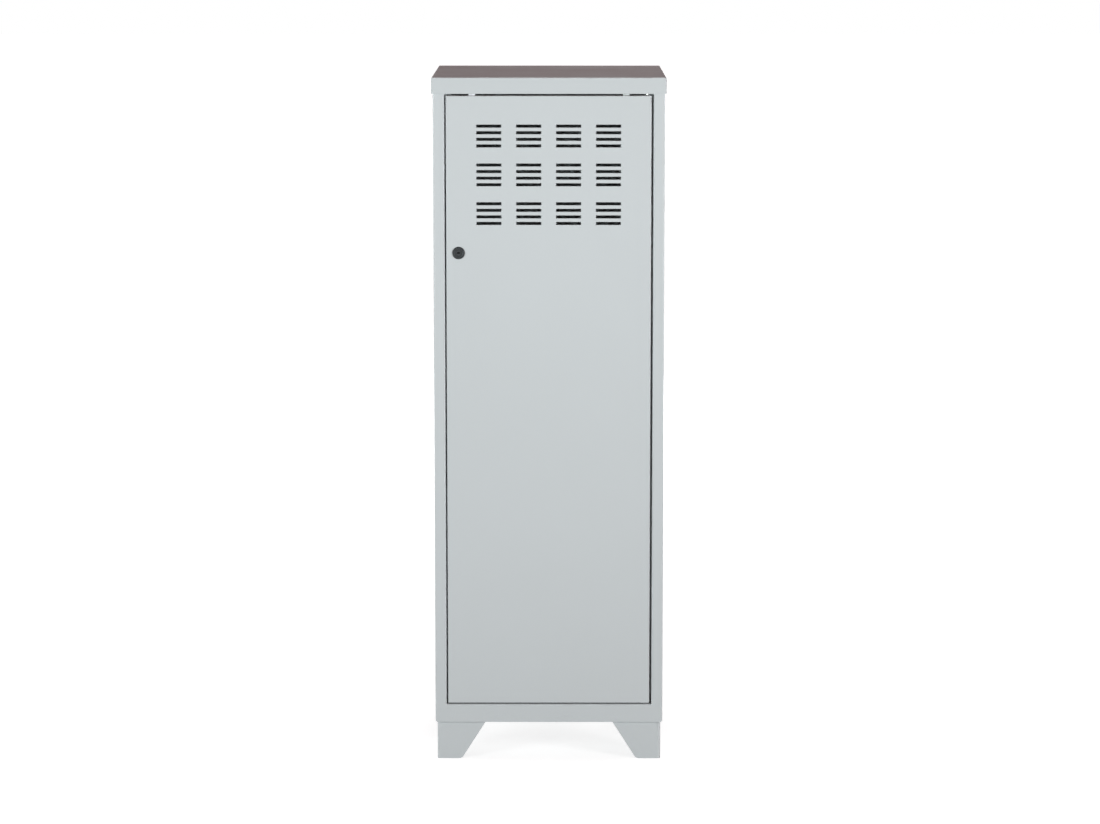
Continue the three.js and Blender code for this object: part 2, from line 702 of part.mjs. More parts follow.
function lockHousing() {
  const rosette = turned([
    [0, SEAT / 2],
    [ROSETTE_RADIUS, SEAT / 2],
    [ROSETTE_RADIUS, ROSETTE_HEIGHT - ROSETTE_CHAMFER],
    [ROSETTE_RADIUS - ROSETTE_CHAMFER, ROSETTE_HEIGHT],
    [0, ROSETTE_HEIGHT],
  ], ROUND * 2);
  const bore = prism(polygon(0, 0, plugBore, ROUND), FROM_ABOVE, -2 * JAMB_DEPTH, JAMB_DEPTH);
  return inDoor(union(rosette, barrel(0, barrelEnd, 1)).subtract(bore));
}

function lockNut() {
  const low = -SHEET - SEAT - LOCK_NUT_HEIGHT;
  const block = prism(hexagon(0, 0, LOCK_NUT_FLATS), FROM_ABOVE, low, low + LOCK_NUT_HEIGHT);
  return inDoor(block.subtract(barrel(FIT, low - 1, 1)));
}

function lockPlug() {
  const face = ROSETTE_HEIGHT - PLUG_RECESS;
  const round = prism(polygon(0, 0, PLUG_RADIUS, ROUND), FROM_ABOVE, barrelEnd, face);
  const half = TANG_SIDE / 2;
  const tang = box(-half, half, -half, half, camRear + SEAT, barrelEnd + 1);
  const keyway = box(
    -KEYWAY_LENGTH / 2, KEYWAY_LENGTH / 2, -KEYWAY_WIDTH / 2, KEYWAY_WIDTH / 2, face - KEYWAY_DEPTH, face + 1,
  );
  const tap = polygon(0, 0, CAM_SCREW_RADIUS + FIT, SMALL_ROUND);
  const tapHole = prism(tap, FROM_ABOVE, camRear - 1, camRear + CAM_SCREW_GRIP + 1);
  return inDoor(union(round, tang).subtract(keyway).subtract(tapHole));
}

function lockCam() {
  const half = CAM_WIDTH / 2;
  const tip = CAM_REACH - half;
  const outline = [];
  for (const [middle, from] of [[0, 0], [-tip, Math.PI]]) {
    for (let step = 0; step <= SMALL_ROUND; step += 1) {
      const angle = from + (Math.PI * step) / SMALL_ROUND;
      outline.push(point(half * Math.cos(angle), middle + half * Math.sin(angle)));
    }
  }
  const plate = prism(new THREE.Shape(outline), FROM_ABOVE, camRear, camFront);
  const side = TANG_SIDE / 2 + FIT;
  return inDoor(plate.subtract(box(-side, side, -side, side, camRear - 1, camFront + 1)));
}

function camWasher() {
  const top = camRear - SEAT;
  const disc = prism(polygon(0, 0, CAM_WASHER_RADIUS, ROUND), FROM_ABOVE, top - CAM_WASHER_HEIGHT, top);
  const bore = polygon(0, 0, CAM_SCREW_RADIUS + FIT, SMALL_ROUND);
  return inDoor(disc.subtract(prism(bore, FROM_ABOVE, top - CAM_WASHER_HEIGHT - 1, top + 1)));
}

function camScrew() {
  const top = camRear - 2 * SEAT - CAM_WASHER_HEIGHT;
  const head = prism(hexagon(0, 0, CAM_SCREW_FLATS), FROM_ABOVE, top - CAM_SCREW_HEAD, top);
  const shank = polygon(0, 0, CAM_SCREW_RADIUS, SMALL_ROUND);
  return inDoor(union(head, prism(shank, FROM_ABOVE, top - 1, camRear + CAM_SCREW_GRIP)));
}

const locker = new THREE.Group();
locker.name = "locker";
const carcass = new THREE.Group();
carcass.name = "carcass";
const door = new THREE.Group();
door.name = "door";
const lock = new THREE.Group();
lock.name = "lock";
locker.add(carcass, door);
door.add(lock);

function place(group, name, made, look, position = [0, 0, 0], rotation = [0, 0, 0]) {
  const mesh = new THREE.Mesh(geometryOf(made), new THREE.MeshStandardMaterial(look));
  mesh.name = name;
  mesh.position.set(...position);
  mesh.rotation.set(...rotation);
  group.add(mesh);
}

place(carcass, "left_side_panel", leftSidePanel(), PAINT);
place(carcass, "right_side_panel", rightSidePanel(), PAINT);
place(carcass, "back_panel", backPanel(), PAINT);
place(carcass, "floor_pan", floorPan(), PAINT);
place(carcass, "front_header", frontHeader(), PAINT);
place(carcass, "top_cap", topCap(), PAINT);

// Feet, one quarter turn apart, with a bolt and nut through each flange.
const footCorners = [
  ["front_left", -1, -1],
  ["front_right", 1, -1],
  ["rear_right", 1, 1],
  ["rear_left", -1, 1],
];
const boltZ = FOOT_HEIGHT - SEAT - FOOT_SHEET;
footCorners.forEach(([corner, across, along], quarter) => {
  const x = across * (halfWidth - FOOT_INSET);
  const y = along * (halfDepth - FOOT_INSET);
  place(carcass, `foot_${corner}`, foot(), PAINT, [x, y, 0], [0, 0, (quarter * Math.PI) / 2]);
  const floorBolt = [across * (halfWidth - boltReach), along * (halfDepth - boltEdge), boltZ];
  const sideBolt = [across * (halfWidth - boltEdge), along * (halfDepth - boltReach), boltZ];
  for (const [spot, where] of [["floor", floorBolt], ["side", sideBolt]]) {
    place(carcass, `${spot}_bolt_${corner}`, footBolt(), ZINC, where);
    place(carcass, `${spot}_nut_${corner}`, footNut(), ZINC, where);
  }
});

// Shelves on their runners.
const runnerX = halfWidth - SHEET - SEAT;
for (const [level, height] of Object.entries(SHELF_HEIGHTS)) {
  place(carcass, `${level}_shelf`, shelf(), PAINT, [0, 0, height]);
  const runnerZ = height - SHELF_FOLD - SEAT - RUNNER_SHEET;
  place(carcass, `${level}_runner_left`, runner(), PAINT, [-runnerX, shelfMiddle, runnerZ]);
  place(carcass, `${level}_runner_right`, runner(), PAINT, [runnerX, shelfMiddle, runnerZ], [0, 0, Math.PI]);
}

// Rivets through the back panel and the rear flanges.
for (const [name, side] of [["left", -1], ["right", 1]]) {
  rivetHeights.forEach((z, i) => {
    const where = [side * rivetX, halfDepth, z];
    place(carcass, `back_rivet_${name}_${i + 1}`, rivet(), ZINC, where, [-Math.PI / 2, 0, 0]);
  });
}

// Buffers, bumpers and pins of the door opening.
for (const [name, side] of [["left", -1], ["right", 1]]) {
  const where = [side * bufferX, bufferY, lintel];
  place(carcass, `door_buffer_${name}`, doorBuffer(), WHITE_NYLON, where);
}
bumperHeights.forEach((z, i) => {
  const where = [bumperX, lipFront, z];
  place(carcass, `stop_bumper_${i + 1}`, stopBumper(), RUBBER, where, [Math.PI / 2, 0, 0]);
});
place(carcass, "hinge_pin_upper", hingePin(), ZINC, [pivotX, pivotY, doorTop]);
place(carcass, "hinge_pin_lower", lowerHingePin(), ZINC, [pivotX, pivotY, doorBottom]);
place(carcass, "hinge_washer", thrustWasher(), GREY_NYLON, [pivotX, pivotY, doorBottom]);

place(door, "door_panel", doorPanel(), PAINT);
place(door, "door_stiffener", doorStiffener(), PAINT);
place(door, "hinge_bush_upper", hingeBush(1), GREY_NYLON, [pivotX, pivotY, doorTop]);
place(door, "hinge_bush_lower", hingeBush(-1), GREY_NYLON, [pivotX, pivotY, doorBottom]);
place(door, "lock_housing", lockHousing(), DARK_METAL);
place(door, "lock_nut", lockNut(), ZINC);
place(lock, "lock_plug", lockPlug(), DARK_METAL);
place(lock, "lock_cam", lockCam(), ZINC);
place(lock, "cam_washer", camWasher(), ZINC);
place(lock, "cam_screw", camScrew(), ZINC);

export default locker;
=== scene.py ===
import math

import bmesh
import bpy
from mathutils import Matrix, Vector


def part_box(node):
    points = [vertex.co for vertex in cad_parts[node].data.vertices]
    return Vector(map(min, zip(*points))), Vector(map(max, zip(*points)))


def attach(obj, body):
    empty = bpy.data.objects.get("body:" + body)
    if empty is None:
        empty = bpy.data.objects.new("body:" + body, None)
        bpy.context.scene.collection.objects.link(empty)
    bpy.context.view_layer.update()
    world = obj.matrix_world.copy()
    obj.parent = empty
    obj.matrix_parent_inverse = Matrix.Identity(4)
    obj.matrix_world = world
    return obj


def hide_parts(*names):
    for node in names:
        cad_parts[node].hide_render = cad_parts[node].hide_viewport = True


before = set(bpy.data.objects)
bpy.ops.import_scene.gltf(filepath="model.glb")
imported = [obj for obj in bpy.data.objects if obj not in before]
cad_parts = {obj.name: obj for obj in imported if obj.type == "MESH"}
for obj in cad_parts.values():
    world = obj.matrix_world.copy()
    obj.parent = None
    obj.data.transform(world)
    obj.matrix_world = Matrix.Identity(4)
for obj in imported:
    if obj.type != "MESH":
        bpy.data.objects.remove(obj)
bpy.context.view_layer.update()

# Camera
# Stands a little above the locker's top, well back and turned down on it, so the door is seen flat on
# with a thin strip of the cap's top. The lens isn't shifted and everything is sharp.
EYE = (0.012, -6.203, 1.526)
EYE_DOWN = 8.587
EYE_LEFT = 0.097
LENS = 114.17

lens = bpy.data.cameras.new("camera")
lens.sensor_fit = "HORIZONTAL"
lens.sensor_width = 36
lens.lens = LENS
camera = bpy.data.objects.new("camera", lens)
camera.location = EYE
camera.rotation_euler = (math.radians(90 - EYE_DOWN), 0, math.radians(EYE_LEFT))
bpy.context.scene.collection.objects.link(camera)
bpy.context.scene.camera = camera

# Feet
# Four corner feet, each folded from one piece of 2 mm steel sheet, tapered to a rounded toe and powder
# coated light grey with the rest. A flange turned in at the top takes the two bolts that hold the foot.
FOOT_SHEET = 0.002
FOOT_BEND = 0.005
FOOT_TOP = 0.085
FOOT_TOE = 0.043
FOOT_TOE_ROUND = 0.009
FOOT_FLANGE = 0.020
FOOT_FLANGE_LENGTH = 0.072
FOOT_EASE = 0.0004
FLANGE_SEAT = 0.0002
PAINT_COLOUR = (205, 211, 213)
PAINT_SHADE = (186, 191, 190)
PAINT_SPECK = (232, 235, 236)
CLOUD_SCALE = 3.1
SPECK_SCALE = 240.0
SHEEN_SCALE = 14.0
WAVE_SCALE = 2.6
# Warm taupe of the dust film, which also serves as painted shade on faces that point up.
DUST_AND_SHADE_COLOUR = (164, 148, 147)
DUST_AND_SHADE_SCALE = 9.0
DUST_DULLS = 0.35


def linear(red, green, blue):
    """A colour read off a screen, as the shader wants it."""
    steps = [c / 255 for c in (red, green, blue)]
    return (*[c / 12.92 if c <= 0.04045 else ((c + 0.055) / 1.055) ** 2.4 for c in steps], 1)


def feed(tree, socket, value):
    """Puts a plain value or another node's output on a socket."""
    if isinstance(value, bpy.types.NodeSocket):
        tree.links.new(value, socket)
    else:
        socket.default_value = value


def link(tree, node, **inputs):
    """Sets a node's inputs by name, from plain values or from other nodes' outputs."""
    for name, value in inputs.items():
        feed(tree, node.inputs[name.replace("_", " ")], value)
    return node


def add(tree, kind, **inputs):
    """A new node, its inputs set by name."""
    return link(tree, tree.nodes.new(kind), **inputs)


def math_node(tree, operation, *values, clamp=False):
    """One sum on plain values or other nodes' outputs."""
    node = tree.nodes.new("ShaderNodeMath")
    node.operation = operation
    node.use_clamp = clamp
    for socket, value in zip(node.inputs, values):
        feed(tree, socket, value)
    return node.outputs[0]


def effect(name, inputs, outputs):
    """An empty shader group with named sockets."""
    group = bpy.data.node_groups.new(name, "ShaderNodeTree")
    for label, kind, value in inputs:
        group.interface.new_socket(label, in_out="INPUT", socket_type=kind).default_value = value
    for label, kind in outputs:
        group.interface.new_socket(label, in_out="OUTPUT", socket_type=kind)
    return group, group.nodes.new("NodeGroupInput"), group.nodes.new("NodeGroupOutput")


def noise(tree, where, scale, detail, roughness=0.5):
    """A noise pattern on the piece's own coordinates."""
    texture = add(tree, "ShaderNodeTexNoise", Vector=where, Scale=scale, Detail=detail, Roughness=roughness)
    return texture.outputs["Fac"]


def spread(tree, value, low, high, start=0.0, end=1.0, curve="LINEAR"):
    """Stretches a value that runs from start to end over the range from low to high."""
    stretch = add(
        tree, "ShaderNodeMapRange", Value=value, From_Min=start, From_Max=end, To_Min=low, To_Max=high,
    )
    stretch.interpolation_type = curve
    return stretch.outputs["Result"]


def blend(tree, factor, first, second):
    """Two colours mixed."""
    mixed = tree.nodes.new("ShaderNodeMix")
    mixed.data_type = "RGBA"
    for socket, value in zip((mixed.inputs[0], mixed.inputs[6], mixed.inputs[7]), (factor, first, second)):
        feed(tree, socket, value)
    return mixed.outputs[2]


def powder_coat():
    """Baked powder: a cloudy tone, a fine orange peel and a sheen that wanders a little."""
    group, given, made = effect(
        "powder_coat",
        [
            ("Paint", "NodeSocketColor", (0.6, 0.6, 0.6, 1)),
            ("Cloud", "NodeSocketFloat", 0.03),
            ("Peel size", "NodeSocketFloat", 700.0),
            ("Peel depth", "NodeSocketFloat", 0.00005),
            ("Sheet wave", "NodeSocketFloat", 0.004),
            ("Sheen low", "NodeSocketFloat", 0.33),
            ("Sheen high", "NodeSocketFloat", 0.43),
        ],
        [("Colour", "NodeSocketColor"), ("Roughness", "NodeSocketFloat"), ("Height", "NodeSocketFloat")],
    )
    where = group.nodes.new("ShaderNodeTexCoord").outputs["Object"]
    cloud = spread(group, noise(group, where, CLOUD_SCALE, 3.0), 0.0, 1.0, 0.3, 0.7)
    shade = math_node(group, "MULTIPLY", cloud, given.outputs["Cloud"])
    shaded = blend(group, shade, given.outputs["Paint"], linear(*PAINT_SHADE))
    specks = spread(group, noise(group, where, SPECK_SCALE, 2.0), 0.0, 0.05)
    sheen = noise(group, where, SHEEN_SCALE, 4.0)
    peel = noise(group, where, given.outputs["Peel size"], 2.0, 0.4)
    wave = math_node(group, "MULTIPLY", noise(group, where, WAVE_SCALE, 0.0), given.outputs["Sheet wave"])
    link(
        group, made, Colour=blend(group, specks, shaded, linear(*PAINT_SPECK)),
        Roughness=spread(group, sheen, given.outputs["Sheen low"], given.outputs["Sheen high"], 0.3, 0.7),
        Height=math_node(group, "MULTIPLY_ADD", peel, given.outputs["Peel depth"], wave),
    )
    return group


def settled_dust():
    """A patchy, dull film on whatever faces up: workshop dust, and painted shade that keeps the top faces
    dark and warm.
    """
    group, given, made = effect(
        "settled_dust",
        [
            ("Colour", "NodeSocketColor", (0.6, 0.6, 0.6, 1)),
            ("Roughness", "NodeSocketFloat", 0.5),
            ("Dust", "NodeSocketColor", (0.4, 0.38, 0.36, 1)),
            ("Amount", "NodeSocketFloat", 0.5),
        ],
        [("Colour", "NodeSocketColor"), ("Roughness", "NodeSocketFloat")],
    )
    normal = group.nodes.new("ShaderNodeNewGeometry").outputs["Normal"]
    facing = add(group, "ShaderNodeSeparateXYZ", Vector=normal)
    upward = spread(group, facing.outputs["Z"], 0.0, 1.0, 0.75, 0.98, "SMOOTHSTEP")
    where = group.nodes.new("ShaderNodeTexCoord").outputs["Object"]
    patches = spread(group, noise(group, where, DUST_AND_SHADE_SCALE, 5.0, 0.6), 0.55, 1.25)
    dust_and_shade_film = math_node(group, "MULTIPLY", upward, patches)
    amount = math_node(group, "MULTIPLY", dust_and_shade_film, given.outputs["Amount"], clamp=True)
    dusty_and_shaded = blend(group, amount, given.outputs["Colour"], given.outputs["Dust"])
    dull = math_node(group, "MULTIPLY_ADD", amount, DUST_DULLS, given.outputs["Roughness"], clamp=True)
    link(group, made, Colour=dusty_and_shaded, Roughness=dull)
    return group


def finish(name, **plain):
    """A material with its shader, the plain values set on the shader's own sockets."""
    material = bpy.data.materials.new(name)
    material.use_nodes = True
    tree = material.node_tree
    return material, tree, link(tree, tree.nodes["Principled BSDF"], **plain)


def raise_grain(tree, shader, height, distance, strength):
    """Bump on the shader's normal."""
    bump = add(tree, "ShaderNodeBump", Height=height, Distance=distance, Strength=strength)
    link(tree, shader, Normal=bump.outputs["Normal"])


def use(tree, group, **inputs):
    """Places a shared effect in a material."""
    node = tree.nodes.new("ShaderNodeGroup")
    node.node_tree = group
    return link(tree, node, **inputs)


coat_effect = powder_coat()
dust_and_shade_effect = settled_dust()


def grey_paint(name, cloud, dust_and_shade, sheen=(0.33, 0.43), gloss=0.5):
    """Light grey powder coat, with more or less dust and painted shade on its level faces."""
    material, tree, shader = finish(name, Specular_IOR_Level=gloss)
    coat = use(
        tree, coat_effect, Paint=linear(*PAINT_COLOUR), Cloud=cloud, Sheen_low=sheen[0], Sheen_high=sheen[1],
    )
    dusted_and_shaded = use(
        tree, dust_and_shade_effect, Colour=coat.outputs["Colour"], Roughness=coat.outputs["Roughness"],
        Dust=linear(*DUST_AND_SHADE_COLOUR), Amount=dust_and_shade,
    )
    link(tree, shader, Base_Color=dusted_and_shaded.outputs["Colour"], Roughness=dusted_and_shaded.outputs["Roughness"])
    raise_grain(tree, shader, coat.outputs["Height"], distance=1.0, strength=1.0)
    return material


body_paint = grey_paint("body_paint", cloud=0.10, dust_and_shade=0.25)


def worked(name, bm, *steps):
    """A mesh finished by modifiers, each given as its kind and settings."""
    rough = bpy.data.meshes.new(name)
    bm.to_mesh(rough)
    bm.free()
    blank = bpy.data.objects.new(name, rough)
    bpy.context.scene.collection.objects.link(blank)
    for kind, settings in steps:
        step = blank.modifiers.new(kind, kind)
        for setting, value in settings.items():
            setattr(step, setting, value)
    made = bpy.data.meshes.new_from_object(blank.evaluated_get(bpy.context.evaluated_depsgraph_get()))
    bpy.data.objects.remove(blank)
    bpy.data.meshes.remove(rough)
    made.name = name
    return made


def wall(thickness):
    """The sheet's thickness, behind the face that is drawn."""
    return ("SOLIDIFY", {"thickness": thickness, "offset": -1, "use_even_offset": True})


def ease(width, angle=50, segments=2):
    """Sharp edges broken by a small round."""
    return ("BEVEL", {
        "width": width, "segments": segments, "limit_method": "ANGLE", "angle_limit": math.radians(angle),
        "use_clamp_overlap": True, "harden_normals": False,
    })


def rounded(mesh, angle=38):
    """Bends shade round, corners sharper than the angle stay crisp and flat faces stay flat."""
    mesh.shade_smooth()
    mesh.set_sharp_from_angle(angle=math.radians(angle))
    bm = bmesh.new()
    bm.from_mesh(mesh)
    return worked(mesh.name, bm, ("WEIGHTED_NORMAL", {"weight": 100, "keep_sharp": True}))


def fit(name, shape, material, slot, body, *nodes, steps=()):
    """Finishes a shape and puts it on its body, in place of the nodes it stands for."""
    mesh = rounded(worked(name, shape, *steps) if isinstance(shape, bmesh.types.BMesh) else shape)
    mesh.materials.clear()
    mesh.materials.append(material)
    piece = bpy.data.objects.new(name, mesh)
    bpy.context.scene.collection.objects.link(piece)
    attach(piece, body)
    if nodes:
        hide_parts(*nodes)


def prism(outline, low, high):
    """A closed block between two heights, from an outline seen from above."""
    bm = bmesh.new()
    base = bm.faces.new([bm.verts.new((x, y, low)) for x, y in outline])
    top = bmesh.ops.extrude_face_region(bm, geom=[base])["geom"]
    raised = [v for v in top if isinstance(v, bmesh.types.BMVert)]
    bmesh.ops.translate(bm, verts=raised, vec=(0, 0, high - low))
    bmesh.ops.recalc_face_normals(bm, faces=bm.faces)
    return bm


def join(bm, other):
    """Adds another shape to a mesh in the making."""
    spare = bpy.data.meshes.new("spare")
    other.to_mesh(spare)
    other.free()
    bm.from_mesh(spare)
    bpy.data.meshes.remove(spare)


def corner_foot(height):
    """One foot about its outer corner, the leaves along +X and +Y."""
    slope = math.atan2(height, FOOT_TOP - FOOT_TOE)
    toe_start = FOOT_TOE - FOOT_TOE_ROUND * math.tan(slope / 2)
    rows = []
    for step in range(9):
        angle = slope * step / 8
        rows.append((
            FOOT_TOE_ROUND * (1 - math.cos(angle)), toe_start + FOOT_TOE_ROUND * math.sin(angle),
        ))
    rows.append((height, FOOT_TOP))
    bm = bmesh.new()
    lines = []
    for z, reach in rows:
        strip = [(0, reach), (0, (reach + FOOT_BEND) / 2)]
        for step in range(9):
            angle = math.pi + math.pi / 2 * step / 8
            strip.append((FOOT_BEND + FOOT_BEND * math.cos(angle), FOOT_BEND + FOOT_BEND * math.sin(angle)))
        strip += [((reach + FOOT_BEND) / 2, 0), (reach, 0)]
        lines.append([bm.verts.new((x, y, z)) for x, y in strip])
    for lower, upper in zip(lines, lines[1:]):
        for i in range(len(lower) - 1):
            bm.faces.new((lower[i], lower[i + 1], upper[i + 1], upper[i]))
    leaves = worked("foot", bm, wall(FOOT_SHEET), ease(FOOT_EASE))
    near = FOOT_SHEET * 0.9
    flange = prism(
        [
            (near, FOOT_BEND), (FOOT_BEND, near), (FOOT_FLANGE_LENGTH, near),
            (FOOT_FLANGE_LENGTH, FOOT_FLANGE), (FOOT_FLANGE, FOOT_FLANGE),
            (FOOT_FLANGE, FOOT_FLANGE_LENGTH), (near, FOOT_FLANGE_LENGTH),
        ],
        height - FOOT_SHEET, height - FLANGE_SEAT,
    )
    whole = bmesh.new()
    whole.from_mesh(leaves)
    bmesh.ops.dissolve_degenerate(whole, dist=1e-6, edges=whole.edges)
    join(whole, flange)
    return whole


for corner, turn in (("front_left", 0), ("front_right", 1), ("rear_right", 2), ("rear_left", 3)):
    low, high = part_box(f"foot_{corner}")
    outer = Vector((low.x if low.x < 0 else high.x, low.y if low.y < 0 else high.y, 0))
    foot = corner_foot(high.z)
    foot.transform(Matrix.Translation(outer) @ Matrix.Rotation(turn * math.pi / 2, 4, "Z"))
    fit(f"{corner}_foot", foot, body_paint, "light_grey_paint", "carcass", f"foot_{corner}")

# Foot bolts
# Zinc-plated hexagon bolts, put up through the feet's flanges and the floor, with a nut inside the locker.
# Two to a foot, done up by hand, so no two heads point the same way.
HEX_FLATS = 0.010
BOLT_HEAD = 0.004
NUT_HEIGHT = 0.005
BOLT_RADIUS = 0.003
THREAD_PITCH = 0.0008
ZINC_COLOUR = (186, 188, 186)
ZINC_SHADE = (150, 153, 154)
ZINC_BLOOM = (205, 205, 198)
CRYSTAL_SCALE = 700.0
BLOOM_SCALE = 160.0


def zinc_finish():
    """Bright zinc plate: small cloudy crystals and a dull bloom here and there."""
    material, tree, shader = finish("zinc_plate", Metallic=0.95)
    where = tree.nodes.new("ShaderNodeTexCoord").outputs["Object"]
    crystals = add(tree, "ShaderNodeTexVoronoi", Vector=where, Scale=CRYSTAL_SCALE)
    bloom = noise(tree, where, BLOOM_SCALE, 4.0)
    facets = spread(tree, crystals.outputs["Distance"], 0.0, 0.35)
    plated = blend(tree, facets, linear(*ZINC_COLOUR), linear(*ZINC_SHADE))
    bloomed = blend(tree, spread(tree, bloom, 0.0, 0.3), plated, linear(*ZINC_BLOOM))
    link(tree, shader, Base_Color=bloomed, Roughness=spread(tree, bloom, 0.22, 0.48))
    raise_grain(tree, shader, crystals.outputs["Distance"], distance=0.00005, strength=0.3)
    return material


zinc = zinc_finish()


def turned(profile, sides=32):
    """A piece turned about the Z axis, from the radii and heights of its outline."""
    bm = bmesh.new()
    rings = []
    for radius, height in profile:
        if radius == 0:
            rings.append([bm.verts.new((0, 0, height))])
            continue
        angles = [2 * math.pi * i / sides for i in range(sides)]
        rings.append([bm.verts.new((radius * math.cos(a), radius * math.sin(a), height)) for a in angles])
    for below, above in zip(rings, rings[1:]):
        for i in range(sides):
            j = (i + 1) % sides
            corners = [loop[k % len(loop)] for loop, k in ((below, i), (below, j), (above, j), (above, i))]
            whole = list(dict.fromkeys(corners))
            if len(whole) > 2:
                bm.faces.new(whole)
    bmesh.ops.remove_doubles(bm, verts=bm.verts, dist=1e-7)
    bmesh.ops.recalc_face_normals(bm, faces=bm.faces)
    return bm


def threaded(radius, low, high):
    """Outline of a threaded shank, its ridges as plain rings."""
    outline = []
    turns = max(1, round((high - low) / THREAD_PITCH))
    for i in range(turns):
        base = low + (high - low) * i / turns
        outline += [(radius * 0.9, base), (radius, base + (high - low) * 0.5 / turns)]
    return outline + [(radius * 0.9, high)]


def hexagon_head(flats, low, high, chamfer_low, chamfer_high):
    """A hexagon block whose corners are chamfered below, above or on both ends."""
    corner = flats / math.sqrt(3)
    drop = flats * 0.07
    profile = [(0, low)]
    profile += [(corner * 0.9, low), (corner, low + drop)] if chamfer_low else [(corner, low)]
    profile += [(corner, high - drop), (corner * 0.9, high)] if chamfer_high else [(corner, high)]
    return turned(profile + [(0, high)], 6)


def hexagon_bolt(flats, head, radius, low, high):
    """A bolt stood on its head, with a threaded shank."""
    bolt = hexagon_head(flats, low, low + head, chamfer_low=True, chamfer_high=False)
    shank = threaded(radius, low + head, high)
    join(bolt, turned([(0, low + head), *shank, (0, high)], 16))
    return bolt


def geometry_tree(name, sockets, result):
    """An empty geometry tree: itself, its named inputs and the socket for its result."""
    tree = bpy.data.node_groups.new(name, "GeometryNodeTree")
    for label, kind in sockets:
        tree.interface.new_socket(label, in_out="INPUT", socket_type="NodeSocket" + kind)
    tree.interface.new_socket(result, in_out="OUTPUT", socket_type="NodeSocketGeometry")
    return tree, tree.nodes.new("NodeGroupInput").outputs, tree.nodes.new("NodeGroupOutput").inputs[result]


def hand_out(tree, instances, material, result):
    """Ends a geometry tree: the copies are made real and given their material."""
    real = add(tree, "GeometryNodeRealizeInstances", Geometry=instances)
    finished = add(tree, "GeometryNodeSetMaterial", Geometry=real.outputs[0], Material=material)
    feed(tree, result, finished.outputs[0])


def copies_tree():
    """Copies of one piece at every given point, all turned alike, with a twist of their own."""
    tree, given, result = geometry_tree("placed_copies", [
        ("Places", "Geometry"), ("Piece", "Object"), ("Finish", "Material"),
        ("Turn", "Vector"), ("Twist", "Float"), ("Seed", "Int"),
    ], "Copies")
    piece = add(tree, "GeometryNodeObjectInfo", Object=given["Piece"])
    placed = add(
        tree, "GeometryNodeInstanceOnPoints", Points=given["Places"], Instance=piece.outputs["Geometry"],
        Rotation=given["Turn"],
    )
    chance = add(tree, "FunctionNodeRandomValue", Seed=given["Seed"])
    feed(tree, chance.inputs[3], given["Twist"])
    twist = add(tree, "ShaderNodeCombineXYZ", Z=chance.outputs[1])
    twisted = add(
        tree, "GeometryNodeRotateInstances", Instances=placed.outputs["Instances"], Rotation=twist.outputs[0],
    )
    hand_out(tree, twisted.outputs[0], given["Finish"], result)
    return tree


def grown(name, tree, base, **values):
    """Runs a geometry tree on a mesh and keeps the result as a plain mesh."""
    host = bpy.data.objects.new(name, base)
    bpy.context.scene.collection.objects.link(host)
    step = host.modifiers.new(name, "NODES")
    step.node_group = tree
    for item in tree.interface.items_tree:
        label = item.name.replace(" ", "_")
        if item.in_out == "INPUT" and label in values:
            step[item.identifier] = values[label]
    made = bpy.data.meshes.new_from_object(host.evaluated_get(bpy.context.evaluated_depsgraph_get()))
    host.modifiers.remove(step)
    bpy.data.objects.remove(host)
    made.name = name
    return made


copies = copies_tree()


def copies_at(name, shape, places, material, turn=(0, 0, 0), twist=0.0, seed=0):
    """A mesh of like pieces at the given places."""
    points = bpy.data.meshes.new(name + "_places")
    points.from_pydata([tuple(p) for p in places], [], [])
    pattern = bpy.data.objects.new(name + "_pattern", rounded(worked(name + "_pattern", shape)))
    bpy.context.scene.collection.objects.link(pattern)
    made = grown(name, copies, points, Piece=pattern, Finish=material, Turn=turn, Twist=twist, Seed=seed)
    bpy.data.objects.remove(pattern)
    bpy.data.meshes.remove(points)
    return made


def middle(node):
    """The middle of a node's box, seen from above, and its lowest height."""
    low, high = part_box(node)
    return Vector(((low.x + high.x) / 2, (low.y + high.y) / 2, low.z))


bolt_names = [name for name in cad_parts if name.startswith(("floor_bolt_", "side_bolt_"))]
bolt_low, bolt_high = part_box(bolt_names[0])
bolt = hexagon_bolt(HEX_FLATS, BOLT_HEAD, BOLT_RADIUS, 0, bolt_high.z - bolt_low.z)
bolts = copies_at("foot_bolts", bolt, [middle(n) for n in bolt_names], zinc, twist=math.pi / 3, seed=4)
fit("foot_bolts", bolts, zinc, "zinc_steel", "carcass", *bolt_names)
nut_names = [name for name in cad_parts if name.startswith(("floor_nut_", "side_nut_"))]
nut = hexagon_head(HEX_FLATS, 0, NUT_HEIGHT, chamfer_low=True, chamfer_high=True)
nuts = copies_at("foot_nuts", nut, [middle(n) for n in nut_names], zinc, twist=math.pi / 3, seed=9)
fit("foot_nuts", nuts, zinc, "zinc_steel", "carcass", *nut_names)

# Body sheets
# Floor pan, side panels, header and back, folded from 0.8 mm steel sheet and spot welded, then coated in one.
# The rail's ends are welded to the stiles and ground flush, so the frame round the door shows no joint.
RAIL_WELD = 0.0001


def pressed_sheet(node, weld=0.0):
    """A folded sheet with its flat faces whole; weld closes the hairline at its two ends."""
    bm = bmesh.new()
    bm.from_mesh(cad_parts[node].data)
    bmesh.ops.remove_doubles(bm, verts=bm.verts, dist=1e-5)
    bmesh.ops.dissolve_limit(bm, angle_limit=math.radians(0.4), verts=bm.verts, edges=bm.edges)
    if weld:
        reach = max(v.co.x for v in bm.verts)
        for v in bm.verts:
            if abs(v.co.x) > reach - weld / 2:
                v.co.x += math.copysign(weld, v.co.x)
    return bm


for node, weld in (
    ("floor_pan", RAIL_WELD), ("left_side_panel", 0), ("right_side_panel", 0), ("front_header", 0),
    ("back_panel", 0),
):
    fit(f"{node}_sheet", pressed_sheet(node, weld), body_paint, "light_grey_paint", "carcass", node)

